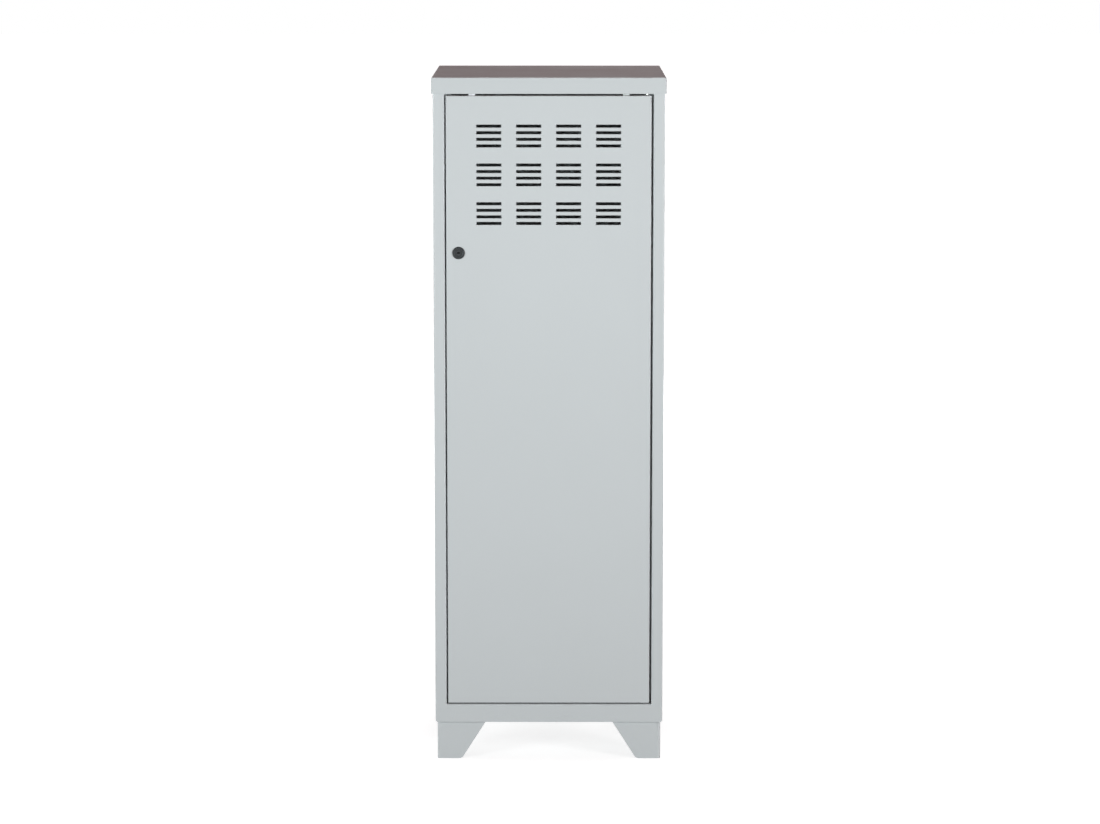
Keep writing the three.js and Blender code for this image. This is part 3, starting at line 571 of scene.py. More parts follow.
# Back rivets
# Blind rivets of zinc-plated steel that hold the back sheet to the side panels' rear flanges.
# Each has a low dome outside, with the hole its pin was pulled through.
RIVET_HEAD = 0.004
RIVET_DOME = 0.0013
RIVET_SEAT = 0.0001
RIVET_SHANK = 0.002
RIVET_BULB = 0.0028
RIVET_PIN = 0.0009
RIVET_LENGTH = 0.004

rivet = turned([
    (0, -RIVET_LENGTH), (RIVET_BULB, -RIVET_LENGTH), (RIVET_BULB, -RIVET_LENGTH * 0.55),
    (RIVET_SHANK, -RIVET_LENGTH * 0.5), (RIVET_SHANK, RIVET_SEAT),
    (RIVET_HEAD, RIVET_SEAT), (RIVET_HEAD, RIVET_DOME * 0.25), (RIVET_HEAD * 0.85, RIVET_DOME * 0.62),
    (RIVET_HEAD * 0.6, RIVET_DOME * 0.9), (RIVET_HEAD * 0.35, RIVET_DOME),
    (RIVET_PIN, RIVET_DOME), (RIVET_PIN, RIVET_DOME * 0.3), (0, RIVET_DOME * 0.2),
], 24)
rivet_names = sorted(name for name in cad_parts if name.startswith("back_rivet_"))
rivet_places = []
for name in rivet_names:
    low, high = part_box(name)
    rivet_places.append(((low.x + high.x) / 2, high.y - RIVET_DOME, (low.z + high.z) / 2))
rivets = copies_at("back_rivets", rivet, rivet_places, zinc, turn=(-math.pi / 2, 0, 0))
fit("back_rivets", rivets, zinc, "zinc_steel", "carcass", *rivet_names)

# Shelves and runners
# Two shelf pans with folded edges lie loose on steel angles that are spot welded to the side panels.
# The welds show as small dished marks under the paint.
SHEET_EASE = 0.0002
RUNNER_SHEET = 0.0012
RUNNER_WELDS = 4
WELD_UP = 0.0095
WELD_RADIUS = 0.0028
WELD_RISE = 0.00022


def spot_weld():
    """The dished mark of one weld, lying flat."""
    return turned([
        (0, 0), (WELD_RADIUS * 1.15, 0), (WELD_RADIUS, WELD_RISE), (WELD_RADIUS * 0.72, WELD_RISE * 0.85),
        (WELD_RADIUS * 0.35, WELD_RISE * 0.3), (0, WELD_RISE * 0.2),
    ], 20)


levels = ("lower", "upper")
for level in levels:
    pans = {f"{level}_shelf_pan": f"{level}_shelf"}
    for side in ("left", "right"):
        pans[f"{level}_runner_{side}_angle"] = f"{level}_runner_{side}"
    for name, node in pans.items():
        fit(
            name, pressed_sheet(node), body_paint, "light_grey_paint", "carcass", node,
            steps=[ease(SHEET_EASE)],
        )
for side, facing in (("left", 1), ("right", -1)):
    places = []
    for level in levels:
        low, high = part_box(f"{level}_runner_{side}")
        leaf = low.x + RUNNER_SHEET if facing > 0 else high.x - RUNNER_SHEET
        for i in range(RUNNER_WELDS):
            places.append((leaf, low.y + (high.y - low.y) * (i + 0.5) / RUNNER_WELDS, low.z + WELD_UP))
    name = f"runner_welds_{side}"
    marks = copies_at(name, spot_weld(), places, body_paint, turn=(0, facing * math.pi / 2, 0))
    fit(name, marks, body_paint, "light_grey_paint", "carcass")

# Cap
# A shallow pan of steel sheet set over the body, its apron folded down all round and the corners welded.
# It overhangs the sides a little, and its top holds the most dust, partly painted shade that keeps it dark
# and warm.
CAP_SHEET = 0.0008
CAP_BEND = 0.0025
CAP_CORNER = 0.003
CAP_SHEEN = (0.55, 0.68)
CAP_GLOSS = 0.1

# The heavy dust on the cap is partly painted shade on its top.
cap_paint = grey_paint("cap_paint", cloud=0.12, dust_and_shade=0.7, sheen=CAP_SHEEN, gloss=CAP_GLOSS)


def ring(low, high, inset, corner, steps=6):
    """A rectangle with round corners, seen from above, counter-clockwise from its right side."""
    left, near = low[0] + inset + corner, low[1] + inset + corner
    right, far = high[0] - inset - corner, high[1] - inset - corner
    points = []
    for quarter, (x, y) in enumerate(((right, far), (left, far), (left, near), (right, near))):
        for step in range(steps + 1):
            angle = math.pi / 2 * (quarter + step / steps)
            points.append((x + corner * math.cos(angle), y + corner * math.sin(angle)))
    return points


cap_low, cap_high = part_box("top_cap")
bm = bmesh.new()
rings = []
for step in range(9):
    angle = math.pi / 2 * step / 8
    inset = CAP_BEND * (1 - math.sin(angle))
    height = cap_high.z - CAP_BEND * (1 - math.cos(angle))
    outline = ring(cap_low, cap_high, inset, CAP_CORNER - inset)
    rings.append([bm.verts.new((x, y, height)) for x, y in outline])
rings.append([bm.verts.new((x, y, cap_low.z)) for x, y in ring(cap_low, cap_high, 0, CAP_CORNER)])
bm.faces.new(rings[0])
for upper, lower in zip(rings, rings[1:]):
    for i in range(len(upper)):
        j = (i + 1) % len(upper)
        bm.faces.new((upper[j], upper[i], lower[i], lower[j]))
fit("cap", bm, cap_paint, "light_grey_paint", "carcass", "top_cap", steps=[wall(CAP_SHEET)])

# Hinge
# The door turns on two zinc-plated steel pins, pushed through the header and the rail, in grey nylon bushes.
# A nylon washer on the lower pin carries the door's weight.
PIN_RADIUS = 0.0025
PIN_HEAD_RADIUS = 0.0044
PIN_HEAD = 0.002
PIN_HEAD_EDGE = 0.0005
PIN_POINT = 0.0008
PIN_PLAY = 0.0003
BUSH_RADIUS = 0.004
BUSH_FLANGE_RADIUS = 0.0055
BUSH_FLANGE = 0.0012
BUSH_EDGE = 0.0003
NYLON_GREY = (146, 149, 151)
NYLON_CLOUD_SCALE = 90.0
SPARK_SCALE = 2600.0


def moulded_finish(name, colour, rough_low, rough_high, grain):
    """Moulded plastic: an even colour, faintly clouded, with the mould's fine spark grain."""
    material, tree, shader = finish(name, Specular_IOR_Level=0.4)
    where = tree.nodes.new("ShaderNodeTexCoord").outputs["Object"]
    clouds = noise(tree, where, NYLON_CLOUD_SCALE, 3.0)
    sparks = noise(tree, where, SPARK_SCALE, 2.0)
    darker = tuple(c * 0.86 for c in linear(*colour)[:3]) + (1,)
    link(
        tree, shader, Base_Color=blend(tree, clouds, linear(*colour), darker),
        Roughness=spread(tree, sparks, rough_low, rough_high),
    )
    raise_grain(tree, shader, sparks, grain, strength=0.4)
    return material


grey_nylon = moulded_finish("bush_nylon", NYLON_GREY, rough_low=0.42, rough_high=0.6, grain=0.00004)


def upright(node, outline, way_up=True):
    """A turned piece stood on a node's own axis, either way up."""
    low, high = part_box(node)
    if not way_up:
        outline = [(radius, high.z - low.z - height) for radius, height in outline]
    piece = turned(outline)
    piece.transform(Matrix.Translation(middle(node)))
    return piece


def washer_outline(bore, radius, low, high):
    """A flat ring."""
    return [(bore, low), (radius, low), (radius, high), (bore, high), (bore, low)]


for end, head_up in (("upper", True), ("lower", False)):
    node = f"hinge_pin_{end}"
    low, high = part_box(node)
    tall = high.z - low.z
    outline = [
        (0, 0), (PIN_RADIUS * 0.7, 0), (PIN_RADIUS, PIN_POINT), (PIN_RADIUS, tall - PIN_HEAD),
        (PIN_HEAD_RADIUS, tall - PIN_HEAD), (PIN_HEAD_RADIUS, tall - PIN_HEAD_EDGE),
        (PIN_HEAD_RADIUS * 0.8, tall), (0, tall),
    ]
    fit(f"{end}_pin", upright(node, outline, head_up), zinc, "zinc_steel", "carcass", node)

bore = PIN_RADIUS + PIN_PLAY
low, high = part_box("hinge_washer")
washer = upright("hinge_washer", washer_outline(bore, BUSH_FLANGE_RADIUS, 0, high.z - low.z))
fit("thrust_washer", washer, grey_nylon, "grey_nylon", "carcass", "hinge_washer")
for node, flange_up in (("hinge_bush_upper", True), ("hinge_bush_lower", False)):
    low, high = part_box(node)
    tall = high.z - low.z
    outline = [
        (bore, 0), (BUSH_RADIUS, 0), (BUSH_RADIUS, tall - BUSH_FLANGE),
        (BUSH_FLANGE_RADIUS, tall - BUSH_FLANGE), (BUSH_FLANGE_RADIUS, tall - BUSH_EDGE),
        (BUSH_FLANGE_RADIUS - BUSH_EDGE, tall), (bore, tall), (bore, 0),
    ]
    fit(f"{node}_moulding", upright(node, outline, flange_up), grey_nylon, "grey_nylon", "door", node)

# Buffers and bumpers
# Two pale nylon pads pressed into the header keep the door from rattling, and three rubber buttons on the
# lock-side lip take its knock when it shuts. The right pad has caught some of the grey paint.
PAD_COLOURS = {"left": (244, 247, 252), "right": (214, 221, 220)}
PAD_HEIGHT = 0.0029
PAD_ROUND = 0.0006
STEM_RADIUS = 0.002
STEM_LENGTH = 0.0012
BULB_RADIUS = 0.0028
BULB_TIP = 0.0015
BULB_LENGTH = 0.0015
RUBBER_COLOUR = (44, 44, 45)
BUTTON_HEIGHT = 0.0037
BUTTON_RADIUS = 0.0045
BUTTON_SEAT = 0.0002
BUTTON_GRIP = 0.001
# Each step over the button's front, as its radius and its distance back from the front.
BUTTON_STEPS = [(0.0045, 0.0014), (0.0041, 0.0005), (0.0032, 0), (0.0012, 0.0003), (0, 0.0004)]

for side, colour in PAD_COLOURS.items():
    nylon = moulded_finish(f"{side}_pad_nylon", colour, rough_low=0.4, rough_high=0.55, grain=0.00004)
    low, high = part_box(f"door_buffer_{side}")
    pad_top = low.z + PAD_HEIGHT
    pad = prism([(low.x, low.y), (high.x, low.y), (high.x, high.y), (low.x, high.y)], low.z, pad_top)
    stem = turned([
        (0, 0), (STEM_RADIUS, 0), (STEM_RADIUS, STEM_LENGTH), (BULB_RADIUS, STEM_LENGTH),
        (BULB_TIP, high.z - pad_top), (0, high.z - pad_top),
    ], 20)
    stem.transform(Matrix.Translation(((low.x + high.x) / 2, (low.y + high.y) / 2, pad_top)))
    eased = bmesh.new()
    eased.from_mesh(worked(f"{side}_pad", pad, ease(PAD_ROUND, 60, 3)))
    join(eased, stem)
    fit(f"{side}_pad", eased, nylon, "white_nylon", "carcass", f"door_buffer_{side}")

rubber = moulded_finish("button_rubber", RUBBER_COLOUR, rough_low=0.7, rough_high=0.9, grain=0.00006)
button = turned([
    (0, -BUTTON_GRIP - BULB_LENGTH), (BULB_TIP, -BUTTON_GRIP - BULB_LENGTH), (BULB_RADIUS, -BUTTON_GRIP),
    (STEM_RADIUS, -BUTTON_GRIP), (STEM_RADIUS, BUTTON_SEAT), (BUTTON_RADIUS, BUTTON_SEAT),
    *[(radius, BUTTON_HEIGHT - drop) for radius, drop in BUTTON_STEPS],
], 28)
bumper_names = sorted(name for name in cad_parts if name.startswith("stop_bumper_"))
button_places = []
for name in bumper_names:
    low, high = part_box(name)
    button_places.append(((low.x + high.x) / 2, low.y + BUTTON_HEIGHT, (low.z + high.z) / 2))
buttons = copies_at("stop_buttons", button, button_places, rubber, turn=(math.pi / 2, 0, 0))
fit("stop_buttons", buttons, rubber, "black_rubber", "carcass", *bumper_names)

# Door
# One sheet of 0.8 mm steel with its four edges folded back and returned, punched with vent slots in groups of
# four. The punch rolls each slot's front edge over a little before it cuts.
DOOR_SHEET = 0.0008
DOOR_BEND = 0.0016
DOOR_DEPTH = 0.020
DOOR_RETURN = 0.012
VENT_COLUMNS = 4
VENT_ROWS = 3
VENT_SLOTS = 4
SLOT_LENGTH = 0.043
SLOT_HEIGHT = 0.0052
SLOT_PITCH = 0.01135
VENT_COLUMN_PITCH = 0.0687
VENT_ROW_PITCH = 0.0669
VENT_DROP = 0.052
SLOT_ROLL = 0.0003
LOCK_HOLE = 0.0082
LOCK_HOLE_FLAT = 0.0072
PUNCH_REACH = 0.003

# The heavy dust on the door is partly painted shade, darkening its top fold in the gap under the header.
door_paint = grey_paint("door_paint", cloud=0.10, dust_and_shade=0.9)
door_low, door_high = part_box("door_panel")
face = door_low.y
door_middle = (door_low.x + door_high.x) / 2
first_slot = (door_middle - (VENT_COLUMNS - 1) / 2 * VENT_COLUMN_PITCH, face, door_high.z - VENT_DROP)
cut_half_length = SLOT_LENGTH / 2 + SLOT_ROLL
cut_half_height = SLOT_HEIGHT / 2 + SLOT_ROLL
slot_columns = [first_slot[0] + i * VENT_COLUMN_PITCH for i in range(VENT_COLUMNS)]
slot_heights = [
    first_slot[2] - row * VENT_ROW_PITCH - slot * SLOT_PITCH
    for row in range(VENT_ROWS) for slot in range(VENT_SLOTS)
]
xs = [door_low.x + DOOR_BEND]
for x in slot_columns:
    xs += [x - cut_half_length, x + cut_half_length]
xs.append(door_high.x - DOOR_BEND)
zs = [door_high.z - DOOR_BEND]
for z in slot_heights:
    zs += [z + cut_half_height, z - cut_half_height]
zs.append(door_low.z + DOOR_BEND)

bm = bmesh.new()
grid = [[bm.verts.new((x, face, z)) for x in xs] for z in zs]
for row in range(len(zs) - 1):
    for column in range(len(xs) - 1):
        if row % 2 and column % 2:
            continue
        bm.faces.new((
            grid[row + 1][column], grid[row + 1][column + 1], grid[row][column + 1], grid[row][column],
        ))
edge_loop = grid[0][:-1] + [line[-1] for line in grid[:-1]]
edge_loop += grid[-1][:0:-1] + [line[0] for line in grid[:0:-1]]
left, right = grid[0][0].co.x, grid[0][-1].co.x
top, bottom = grid[0][0].co.z, grid[-1][0].co.z
fold = []
for step in range(1, 7):
    angle = math.pi / 2 * step / 6
    fold.append((DOOR_BEND * math.sin(angle), DOOR_BEND * (1 - math.cos(angle))))
fold += [(DOOR_BEND, DOOR_DEPTH), (DOOR_BEND - DOOR_RETURN, DOOR_DEPTH)]
inner = edge_loop
for out, back in fold:
    outer = []
    for v in edge_loop:
        x, z = v.co.x, v.co.z
        x += out if x == right else -out if x == left else 0
        z += out if z == top else -out if z == bottom else 0
        if out < 0:
            x = min(max(x, left - out), right + out)
            z = min(max(z, bottom - out), top + out)
        outer.append(bm.verts.new((x, face + back, z)))
    for i in range(len(inner)):
        j = (i + 1) % len(inner)
        bm.faces.new((inner[i], inner[j], outer[j], outer[i]))
    inner = outer
bmesh.ops.remove_doubles(bm, verts=bm.verts, dist=1e-7)
bmesh.ops.dissolve_degenerate(bm, dist=1e-7, edges=bm.edges)


def hole(radius, sides=32):
    """What a punch takes out, about its middle."""
    return turned([(0, -PUNCH_REACH), (radius, -PUNCH_REACH), (radius, PUNCH_REACH), (0, PUNCH_REACH)], sides)


def cut_by(name, shape):
    """A mesh step that cuts a shape away, and the cutter to throw away after it."""
    cutter = bpy.data.objects.new(name, worked(name, shape))
    bpy.context.scene.collection.objects.link(cutter)
    return ("BOOLEAN", {"object": cutter, "operation": "DIFFERENCE", "solver": "EXACT"}), cutter


lock_low, lock_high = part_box("lock_housing")
lock_middle = Vector(((lock_low.x + lock_high.x) / 2, face, (lock_low.z + lock_high.z) / 2))
out_of_door = Matrix.Translation(lock_middle) @ Matrix.Rotation(math.pi / 2, 4, "X")
holes = hole(LOCK_HOLE, 48)
for v in holes.verts:
    v.co.y = min(max(v.co.y, -LOCK_HOLE_FLAT), LOCK_HOLE_FLAT)
holes.transform(out_of_door)
for name, edge in (("hinge_bush_upper", door_high.z), ("hinge_bush_lower", door_low.z)):
    pivot = middle(name)
    bush_hole = hole(BUSH_RADIUS)
    bush_hole.transform(Matrix.Translation((pivot.x, pivot.y, edge)))
    join(holes, bush_hole)
punched, punch = cut_by("door_punch", holes)
fit(
    "door_skin", bm, door_paint, "light_grey_paint", "door", "door_panel",
    steps=[wall(DOOR_SHEET), punched],
)
bpy.data.objects.remove(punch)


def vent_tree():
    """One punched rim at every slot of the door's groups of slots."""
    tree, given, result = geometry_tree("vent_slots", [
        ("Places", "Geometry"), ("Rim", "Object"), ("Finish", "Material"),
        ("Columns", "Int"), ("Rows", "Int"), ("Slots", "Int"),
        ("Column pitch", "Float"), ("Row pitch", "Float"), ("Slot pitch", "Float"), ("First slot", "Vector"),
    ], "Rims")
    index = tree.nodes.new("GeometryNodeInputIndex").outputs[0]
    in_group = math_node(tree, "MODULO", index, given["Slots"])
    group = math_node(tree, "FLOOR", math_node(tree, "DIVIDE", index, given["Slots"]))
    row = math_node(tree, "MODULO", group, given["Rows"])
    column = math_node(tree, "FLOOR", math_node(tree, "DIVIDE", group, given["Rows"]))
    across = math_node(tree, "MULTIPLY", column, given["Column pitch"])
    row_drop = math_node(tree, "MULTIPLY", row, given["Row pitch"])
    slot_drop = math_node(tree, "MULTIPLY", in_group, given["Slot pitch"])
    drop = math_node(tree, "ADD", row_drop, slot_drop)
    step = add(tree, "ShaderNodeCombineXYZ", X=across, Z=math_node(tree, "MULTIPLY", drop, -1))
    place = tree.nodes.new("ShaderNodeVectorMath")
    feed(tree, place.inputs[0], step.outputs[0])
    feed(tree, place.inputs[1], given["First slot"])
    groups = math_node(tree, "MULTIPLY", given["Columns"], given["Rows"])
    count = math_node(tree, "MULTIPLY", groups, given["Slots"])
    points = add(tree, "GeometryNodePoints", Count=count, Position=place.outputs[0])
    rim = add(tree, "GeometryNodeObjectInfo", Object=given["Rim"])
    placed = add(
        tree, "GeometryNodeInstanceOnPoints", Points=points.outputs[0], Instance=rim.outputs["Geometry"],
    )
    hand_out(tree, placed.outputs[0], given["Finish"], result)
    return tree


def slot_rim():
    """The rolled edge of one slot about its middle, filling the cut in the skin."""
    section = [(0, 0)]
    for step in range(1, 5):
        angle = math.pi / 2 * step / 4
        section.append((SLOT_ROLL * math.sin(angle), SLOT_ROLL * (1 - math.cos(angle))))
    section += [(SLOT_ROLL, DOOR_SHEET), (0, DOOR_SHEET)]
    bm = bmesh.new()
    loops = []
    for inward, back in section:
        half_x, half_z = cut_half_length - inward, cut_half_height - inward
        corners = ((-half_x, -half_z), (half_x, -half_z), (half_x, half_z), (-half_x, half_z))
        loops.append([bm.verts.new((x, back, z)) for x, z in corners])
    for near, far in zip(loops, loops[1:] + loops[:1]):
        for i in range(4):
            j = (i + 1) % 4
            bm.faces.new((near[i], near[j], far[j], far[i]))
    bmesh.ops.recalc_face_normals(bm, faces=bm.faces)
    return bm


rim_pattern = bpy.data.objects.new("slot_rim", rounded(worked("slot_rim", slot_rim())))
bpy.context.scene.collection.objects.link(rim_pattern)
rims = grown(
    "vent_rims", vent_tree(), bpy.data.meshes.new("vent_places"), Rim=rim_pattern, Finish=door_paint,
    Columns=VENT_COLUMNS, Rows=VENT_ROWS, Slots=VENT_SLOTS, Column_pitch=VENT_COLUMN_PITCH,
    Row_pitch=VENT_ROW_PITCH, Slot_pitch=SLOT_PITCH, First_slot=first_slot,
)
bpy.data.objects.remove(rim_pattern)
fit("vent_rims", rims, door_paint, "light_grey_paint", "door")

# Door stiffener
# A hat section of the same sheet that keeps the door from drumming. It stands upright behind the skin, in the
# middle of the door below the vents, and is spot welded through both its flanges.
STIFFENER_WELDS = 7
STIFFENER_WELD_INSET = 0.007

fit(
    "stiffener", pressed_sheet("door_stiffener"), door_paint, "light_grey_paint", "door", "door_stiffener",
    steps=[ease(SHEET_EASE)],
)
low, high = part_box("door_stiffener")
places = []
for i in range(STIFFENER_WELDS):
    height = low.z + (high.z - low.z) * (i + 0.5) / STIFFENER_WELDS
    for x in (low.x + STIFFENER_WELD_INSET, high.x - STIFFENER_WELD_INSET):
        places.append((x, low.y + DOOR_SHEET, height))
marks = copies_at("stiffener_welds", spot_weld(), places, door_paint, turn=(-math.pi / 2, 0, 0))
fit("stiffener_welds", marks, door_paint, "light_grey_paint", "door")

# Lock
# A cam lock in a dark nickelled housing with a bevelled rim, held by a hexagon nut behind the door.
# Its plug lies a little below the rim, with a level keyway, and turns the zinc-plated cam behind the lip.
LOCK_COLOUR = (66, 70, 72)
LATHE_SCALE = 900.0
RUB_SCALE = 420.0
ROSETTE_RADIUS = 0.0108
ROSETTE_HEIGHT = 0.0022
ROSETTE_SEAT = 0.0001
ROSETTE_BORE = 0.0009
BORE_EDGE_WIDTH = 0.0004
BORE_EDGE_DEPTH = 0.0003
# Each step across the rose, as its distance in from the rim and back from the front.
ROSETTE_STEPS = [(0.0024, 0), (0.0021, 0.0003), (0.0016, 0.0003), (0.0013, 0), (0.0008, 0.0002), (0, 0.0012)]
BARREL_RADIUS = 0.008
BARREL_FLAT = 0.007
LOCK_NUT_FLATS = 0.020
LOCK_NUT_COLLAR = 0.0008
PLUG_RADIUS = 0.0058
PLUG_PLAY = 0.0003
PLUG_DROP = 0.0004
PLUG_EDGE = 0.0004
TANG_HALF = 0.0033
TANG_ROOT = 0.0005
KEYWAY_LENGTH = 0.0064
KEYWAY_WIDTH = 0.0021
KEYWAY_DEPTH = 0.010
KEYWAY_CLEAR = 0.001
KEYWAY_STEP = 0.0006
CAM_EASE = 0.0004
CAM_WASHER_RADIUS = 0.0055
CAM_WASHER_BORE = 0.0023
CAM_SCREW_FLATS = 0.007
CAM_SCREW_HEAD = 0.003
CAM_SCREW_RADIUS = 0.002


def lock_finish(name, colour, rough_low, rough_high):
    """Dark nickel, turned in fine rings round the lock's middle and rubbed dull by keys."""
    material, tree, shader = finish(name, Metallic=0.55)
    where = tree.nodes.new("ShaderNodeTexCoord").outputs["Object"]
    centred = add(tree, "ShaderNodeMapping", Vector=where, Location=tuple(-c for c in lock_middle))
    lathe = add(
        tree, "ShaderNodeTexWave", Vector=centred.outputs[0], Scale=LATHE_SCALE, Distortion=1.5, Detail=2.0,
    )
    lathe.wave_type = "RINGS"
    lathe.rings_direction = "Y"
    rubbed = noise(tree, where, RUB_SCALE, 5.0, 0.6)
    darker = tuple(c * 0.55 for c in linear(*colour)[:3]) + (1,)
    toned = blend(tree, spread(tree, rubbed, 0.0, 0.6), linear(*colour), darker)
    link(tree, shader, Base_Color=toned, Roughness=spread(tree, rubbed, rough_low, rough_high))
    raise_grain(tree, shader, lathe.outputs["Fac"], distance=0.00003, strength=0.5)
    return material


def lock_span(node):
    """The back and front of a lock piece, as heights over the door's face on the lock's axis."""
    low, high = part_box(node)
    return face - high.y, face - low.y


lock_metal = lock_finish("dark_nickel", LOCK_COLOUR, rough_low=0.3, rough_high=0.55)
barrel_end = lock_span("lock_housing")[0]
lock_bore = PLUG_RADIUS + PLUG_PLAY
thread = threaded(BARREL_RADIUS, 0, -barrel_end - DOOR_SHEET)
housing = turned([
    (lock_bore, ROSETTE_HEIGHT - ROSETTE_BORE), (lock_bore, ROSETTE_HEIGHT - BORE_EDGE_DEPTH),
    (lock_bore + BORE_EDGE_WIDTH, ROSETTE_HEIGHT),
    *[(ROSETTE_RADIUS - inset, ROSETTE_HEIGHT - drop) for inset, drop in ROSETTE_STEPS],
    (ROSETTE_RADIUS, ROSETTE_SEAT), (BARREL_RADIUS, ROSETTE_SEAT),
    *[(radius, -DOOR_SHEET - height) for radius, height in thread],
    (lock_bore, barrel_end), (lock_bore, ROSETTE_HEIGHT - ROSETTE_BORE),
], 64)
for v in housing.verts:
    if v.co.z < 0 and abs(v.co.y) > BARREL_FLAT:
        v.co.y = math.copysign(BARREL_FLAT, v.co.y)
housing.transform(out_of_door)
fit("lock_case", housing, lock_metal, "dark_lock_metal", "door", "lock_housing")

nut_low, nut_high = lock_span("lock_nut")
nut_radius = LOCK_NUT_FLATS / 2
nut = turned([
    (BARREL_RADIUS, nut_low), (nut_radius, nut_low), (nut_radius, nut_low + LOCK_NUT_COLLAR),
    (nut_radius, nut_high), (BARREL_RADIUS, nut_high), (BARREL_RADIUS, nut_low),
], 48)
for v in nut.verts:
    if v.co.xy.length > (BARREL_RADIUS + nut_radius) / 2 and v.co.z > nut_low + LOCK_NUT_COLLAR / 2:
        from_flat = (math.atan2(v.co.y, v.co.x) + math.pi / 6) % (math.pi / 3) - math.pi / 6
        v.co.xy /= math.cos(from_flat)
nut.transform(out_of_door)
fit("lock_case_nut", nut, zinc, "zinc_steel", "door", "lock_nut")

plug_face = ROSETTE_HEIGHT - PLUG_DROP
plug = turned([
    (0, barrel_end), (PLUG_RADIUS, barrel_end), (PLUG_RADIUS, plug_face - PLUG_EDGE),
    (PLUG_RADIUS - PLUG_EDGE, plug_face), (0, plug_face),
], 48)
tang = prism(
    [(-TANG_HALF, -TANG_HALF), (TANG_HALF, -TANG_HALF), (TANG_HALF, TANG_HALF), (-TANG_HALF, TANG_HALF)],
    lock_span("lock_plug")[0], barrel_end + TANG_ROOT,
)
along, across = KEYWAY_LENGTH / 2, KEYWAY_WIDTH / 2
keyway = prism(
    [
        (-along, -across), (along, -across), (along, across), (KEYWAY_STEP, across),
        (KEYWAY_STEP, KEYWAY_WIDTH * 0.85), (-KEYWAY_STEP, KEYWAY_WIDTH * 0.85), (-KEYWAY_STEP, across),
        (-along, across),
    ],
    plug_face - KEYWAY_DEPTH, plug_face + KEYWAY_CLEAR,
)
slotted, cutter = cut_by("keyway_cutter", keyway)
bm = bmesh.new()
bm.from_mesh(worked("plug", plug, slotted))
bpy.data.objects.remove(cutter)
join(bm, tang)
bm.transform(out_of_door)
fit("lock_barrel_plug", bm, lock_metal, "dark_lock_metal", "lock", "lock_plug")

low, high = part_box("lock_cam")
half = (high.x - low.x) / 2
tip = (high.z - low.z) - 2 * half
outline = []
for centre, start in ((0, 0), (-tip, math.pi)):
    for step in range(17):
        angle = start + math.pi * step / 16
        outline.append((half * math.cos(angle), centre + half * math.sin(angle)))
cam = prism(outline, *lock_span("lock_cam"))
cam.transform(out_of_door)
fit("cam", cam, zinc, "zinc_steel", "lock", "lock_cam", steps=[ease(CAM_EASE)])
disc = turned(washer_outline(CAM_WASHER_BORE, CAM_WASHER_RADIUS, *lock_span("cam_washer")))
disc.transform(out_of_door)
fit("cam_washer_ring", disc, zinc, "zinc_steel", "lock", "cam_washer")
screw = hexagon_bolt(CAM_SCREW_FLATS, CAM_SCREW_HEAD, CAM_SCREW_RADIUS, *lock_span("cam_screw"))
screw.transform(out_of_door)
fit("cam_fixing", screw, zinc, "zinc_steel", "lock", "cam_screw")

# Studio
# A wide white floor and a pale wall out to the horizon, with soft lamps: one at each side in front, above
# the door's middle, and more round the sides and back. The room above is dim and a little warm, so the cap
# stays dark, together with the painted shade in its dust.
FLOOR_SIZE = 60.0
FLOOR_COLOUR = (0.5, 0.5, 0.5, 1)
FLOOR_WHITE_NEAR = 0.76
FLOOR_WHITE_FAR = 1.0
FLOOR_NEAR = 0.5
FLOOR_FAR = 3.0
WALL_LOW = 0.10
WALL_HIGH = 0.16
ROOM_COLOUR = (0.25, 0.2, 0.2, 1)
# Each lamp by its name, place, aim, size, spread in degrees, power and colour.
LAMPS = [
    ("main_lamp", (3.5, -3.2, 1.5), (0.0, 0.0, 1.15), (1.4, 0.9), 75, 23.5, (0.97, 1.0, 1.0)),
    ("front_lamp", (-3.3, -3.3, 1.5), (0.0, 0.0, 1.1), (1.4, 0.9), 75, 18.5, (0.92, 1.0, 1.0)),
    ("right_lamp", (4.2, 0.7, 0.95), (0.0, 0.0, 0.65), (1.6, 1.6), 180, 24, (1.0, 1.0, 1.0)),
    ("left_lamp", (-4.2, 0.7, 0.95), (0.0, 0.0, 0.65), (1.6, 1.6), 180, 55, (1.0, 1.0, 1.0)),
    ("back_lamp", (0.6, 4.6, 1.1), (0.0, 0.0, 0.65), (2.0, 1.6), 180, 110, (1.0, 1.0, 1.0)),
]

for name, place, aim, size, spread_angle, power, colour in LAMPS:
    lamp = bpy.data.lights.new(name, "AREA")
    lamp.shape = "RECTANGLE"
    lamp.size, lamp.size_y = size
    lamp.spread = math.radians(spread_angle)
    lamp.energy = power
    lamp.color = colour
    stand = bpy.data.objects.new(name, lamp)
    stand.location = place
    stand.rotation_euler = (Vector(aim) - Vector(place)).to_track_quat("-Z", "Y").to_euler()
    stand.visible_camera = False
    bpy.context.scene.collection.objects.link(stand)


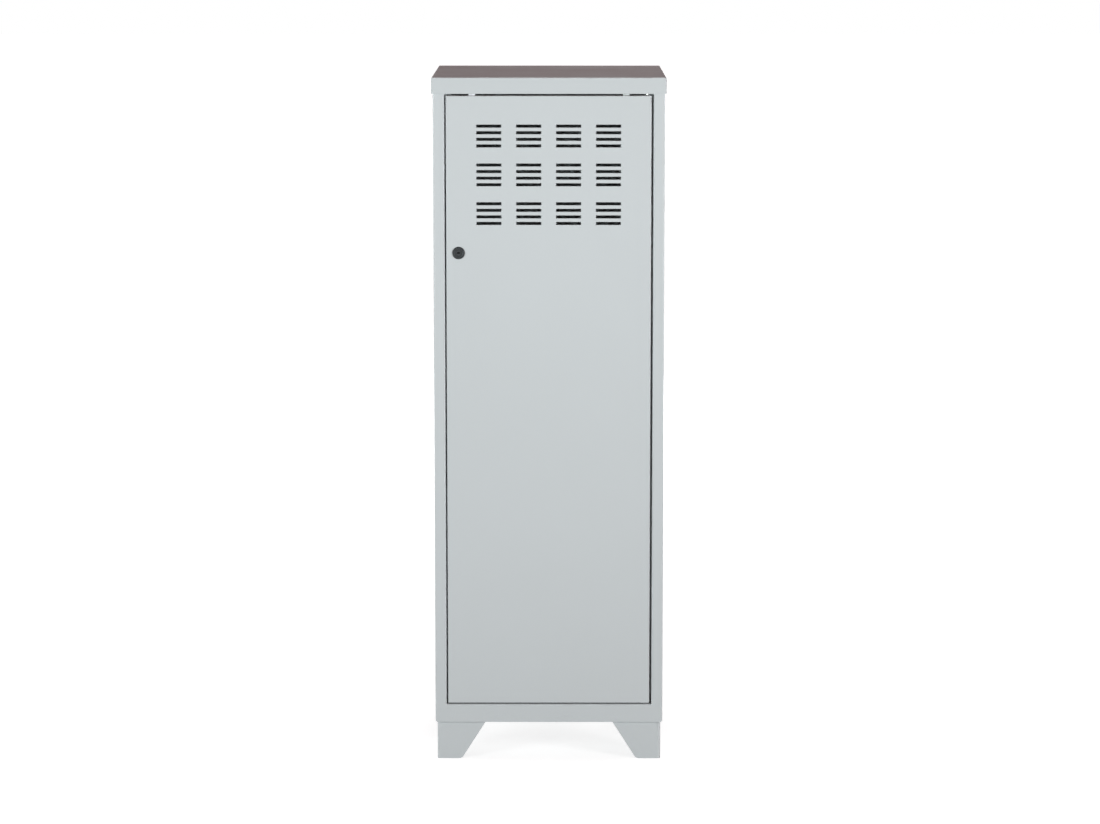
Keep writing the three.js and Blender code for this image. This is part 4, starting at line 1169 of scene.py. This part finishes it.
def seen_directly(tree):
    """1 where a ray comes from the camera, a reflection or glass, 0 for scattered light."""
    path = tree.nodes.new("ShaderNodeLightPath").outputs
    shiny = math_node(tree, "MAXIMUM", path["Is Glossy Ray"], path["Is Transmission Ray"])
    return math_node(tree, "MAXIMUM", path["Is Camera Ray"], shiny)


floor_mesh = bpy.data.meshes.new("floor")
side = FLOOR_SIZE / 2
corners = [(-side, -side, 0), (side, -side, 0), (side, side, 0), (-side, side, 0)]
floor_mesh.from_pydata(corners, [], [(0, 1, 2, 3)])
floor_white = bpy.data.materials.new("floor_white")
floor_white.use_nodes = True
tree = floor_white.node_tree
tree.nodes.clear()
matt = add(tree, "ShaderNodeBsdfDiffuse", Color=FLOOR_COLOUR)
from_middle = tree.nodes.new("ShaderNodeVectorMath")
from_middle.operation = "LENGTH"
feed(tree, from_middle.inputs[0], tree.nodes.new("ShaderNodeTexCoord").outputs["Object"])
white = spread(
    tree, from_middle.outputs["Value"], FLOOR_WHITE_NEAR, FLOOR_WHITE_FAR, FLOOR_NEAR, FLOOR_FAR,
)
glow = add(tree, "ShaderNodeEmission", Strength=math_node(tree, "MULTIPLY", white, seen_directly(tree)))
both = tree.nodes.new("ShaderNodeAddShader")
feed(tree, both.inputs[0], matt.outputs[0])
feed(tree, both.inputs[1], glow.outputs[0])
add(tree, "ShaderNodeOutputMaterial", Surface=both.outputs[0])
floor_mesh.materials.append(floor_white)
floor = bpy.data.objects.new("floor", floor_mesh)
bpy.context.scene.collection.objects.link(floor)

room = bpy.data.worlds.new("room")
room.use_nodes = True
bpy.context.scene.world = room
tree = room.node_tree
direction = add(
    tree, "ShaderNodeSeparateXYZ", Vector=tree.nodes.new("ShaderNodeTexCoord").outputs["Generated"],
)
wall_white = spread(tree, direction.outputs["Z"], 1.0, 0.0, WALL_LOW, WALL_HIGH, "SMOOTHSTEP")
pale = math_node(tree, "MULTIPLY", wall_white, seen_directly(tree))
link(tree, tree.nodes["Background"], Color=blend(tree, pale, ROOM_COLOUR, (1, 1, 1, 1)), Strength=1.0)

bpy.context.scene.view_settings.view_transform = "Standard"
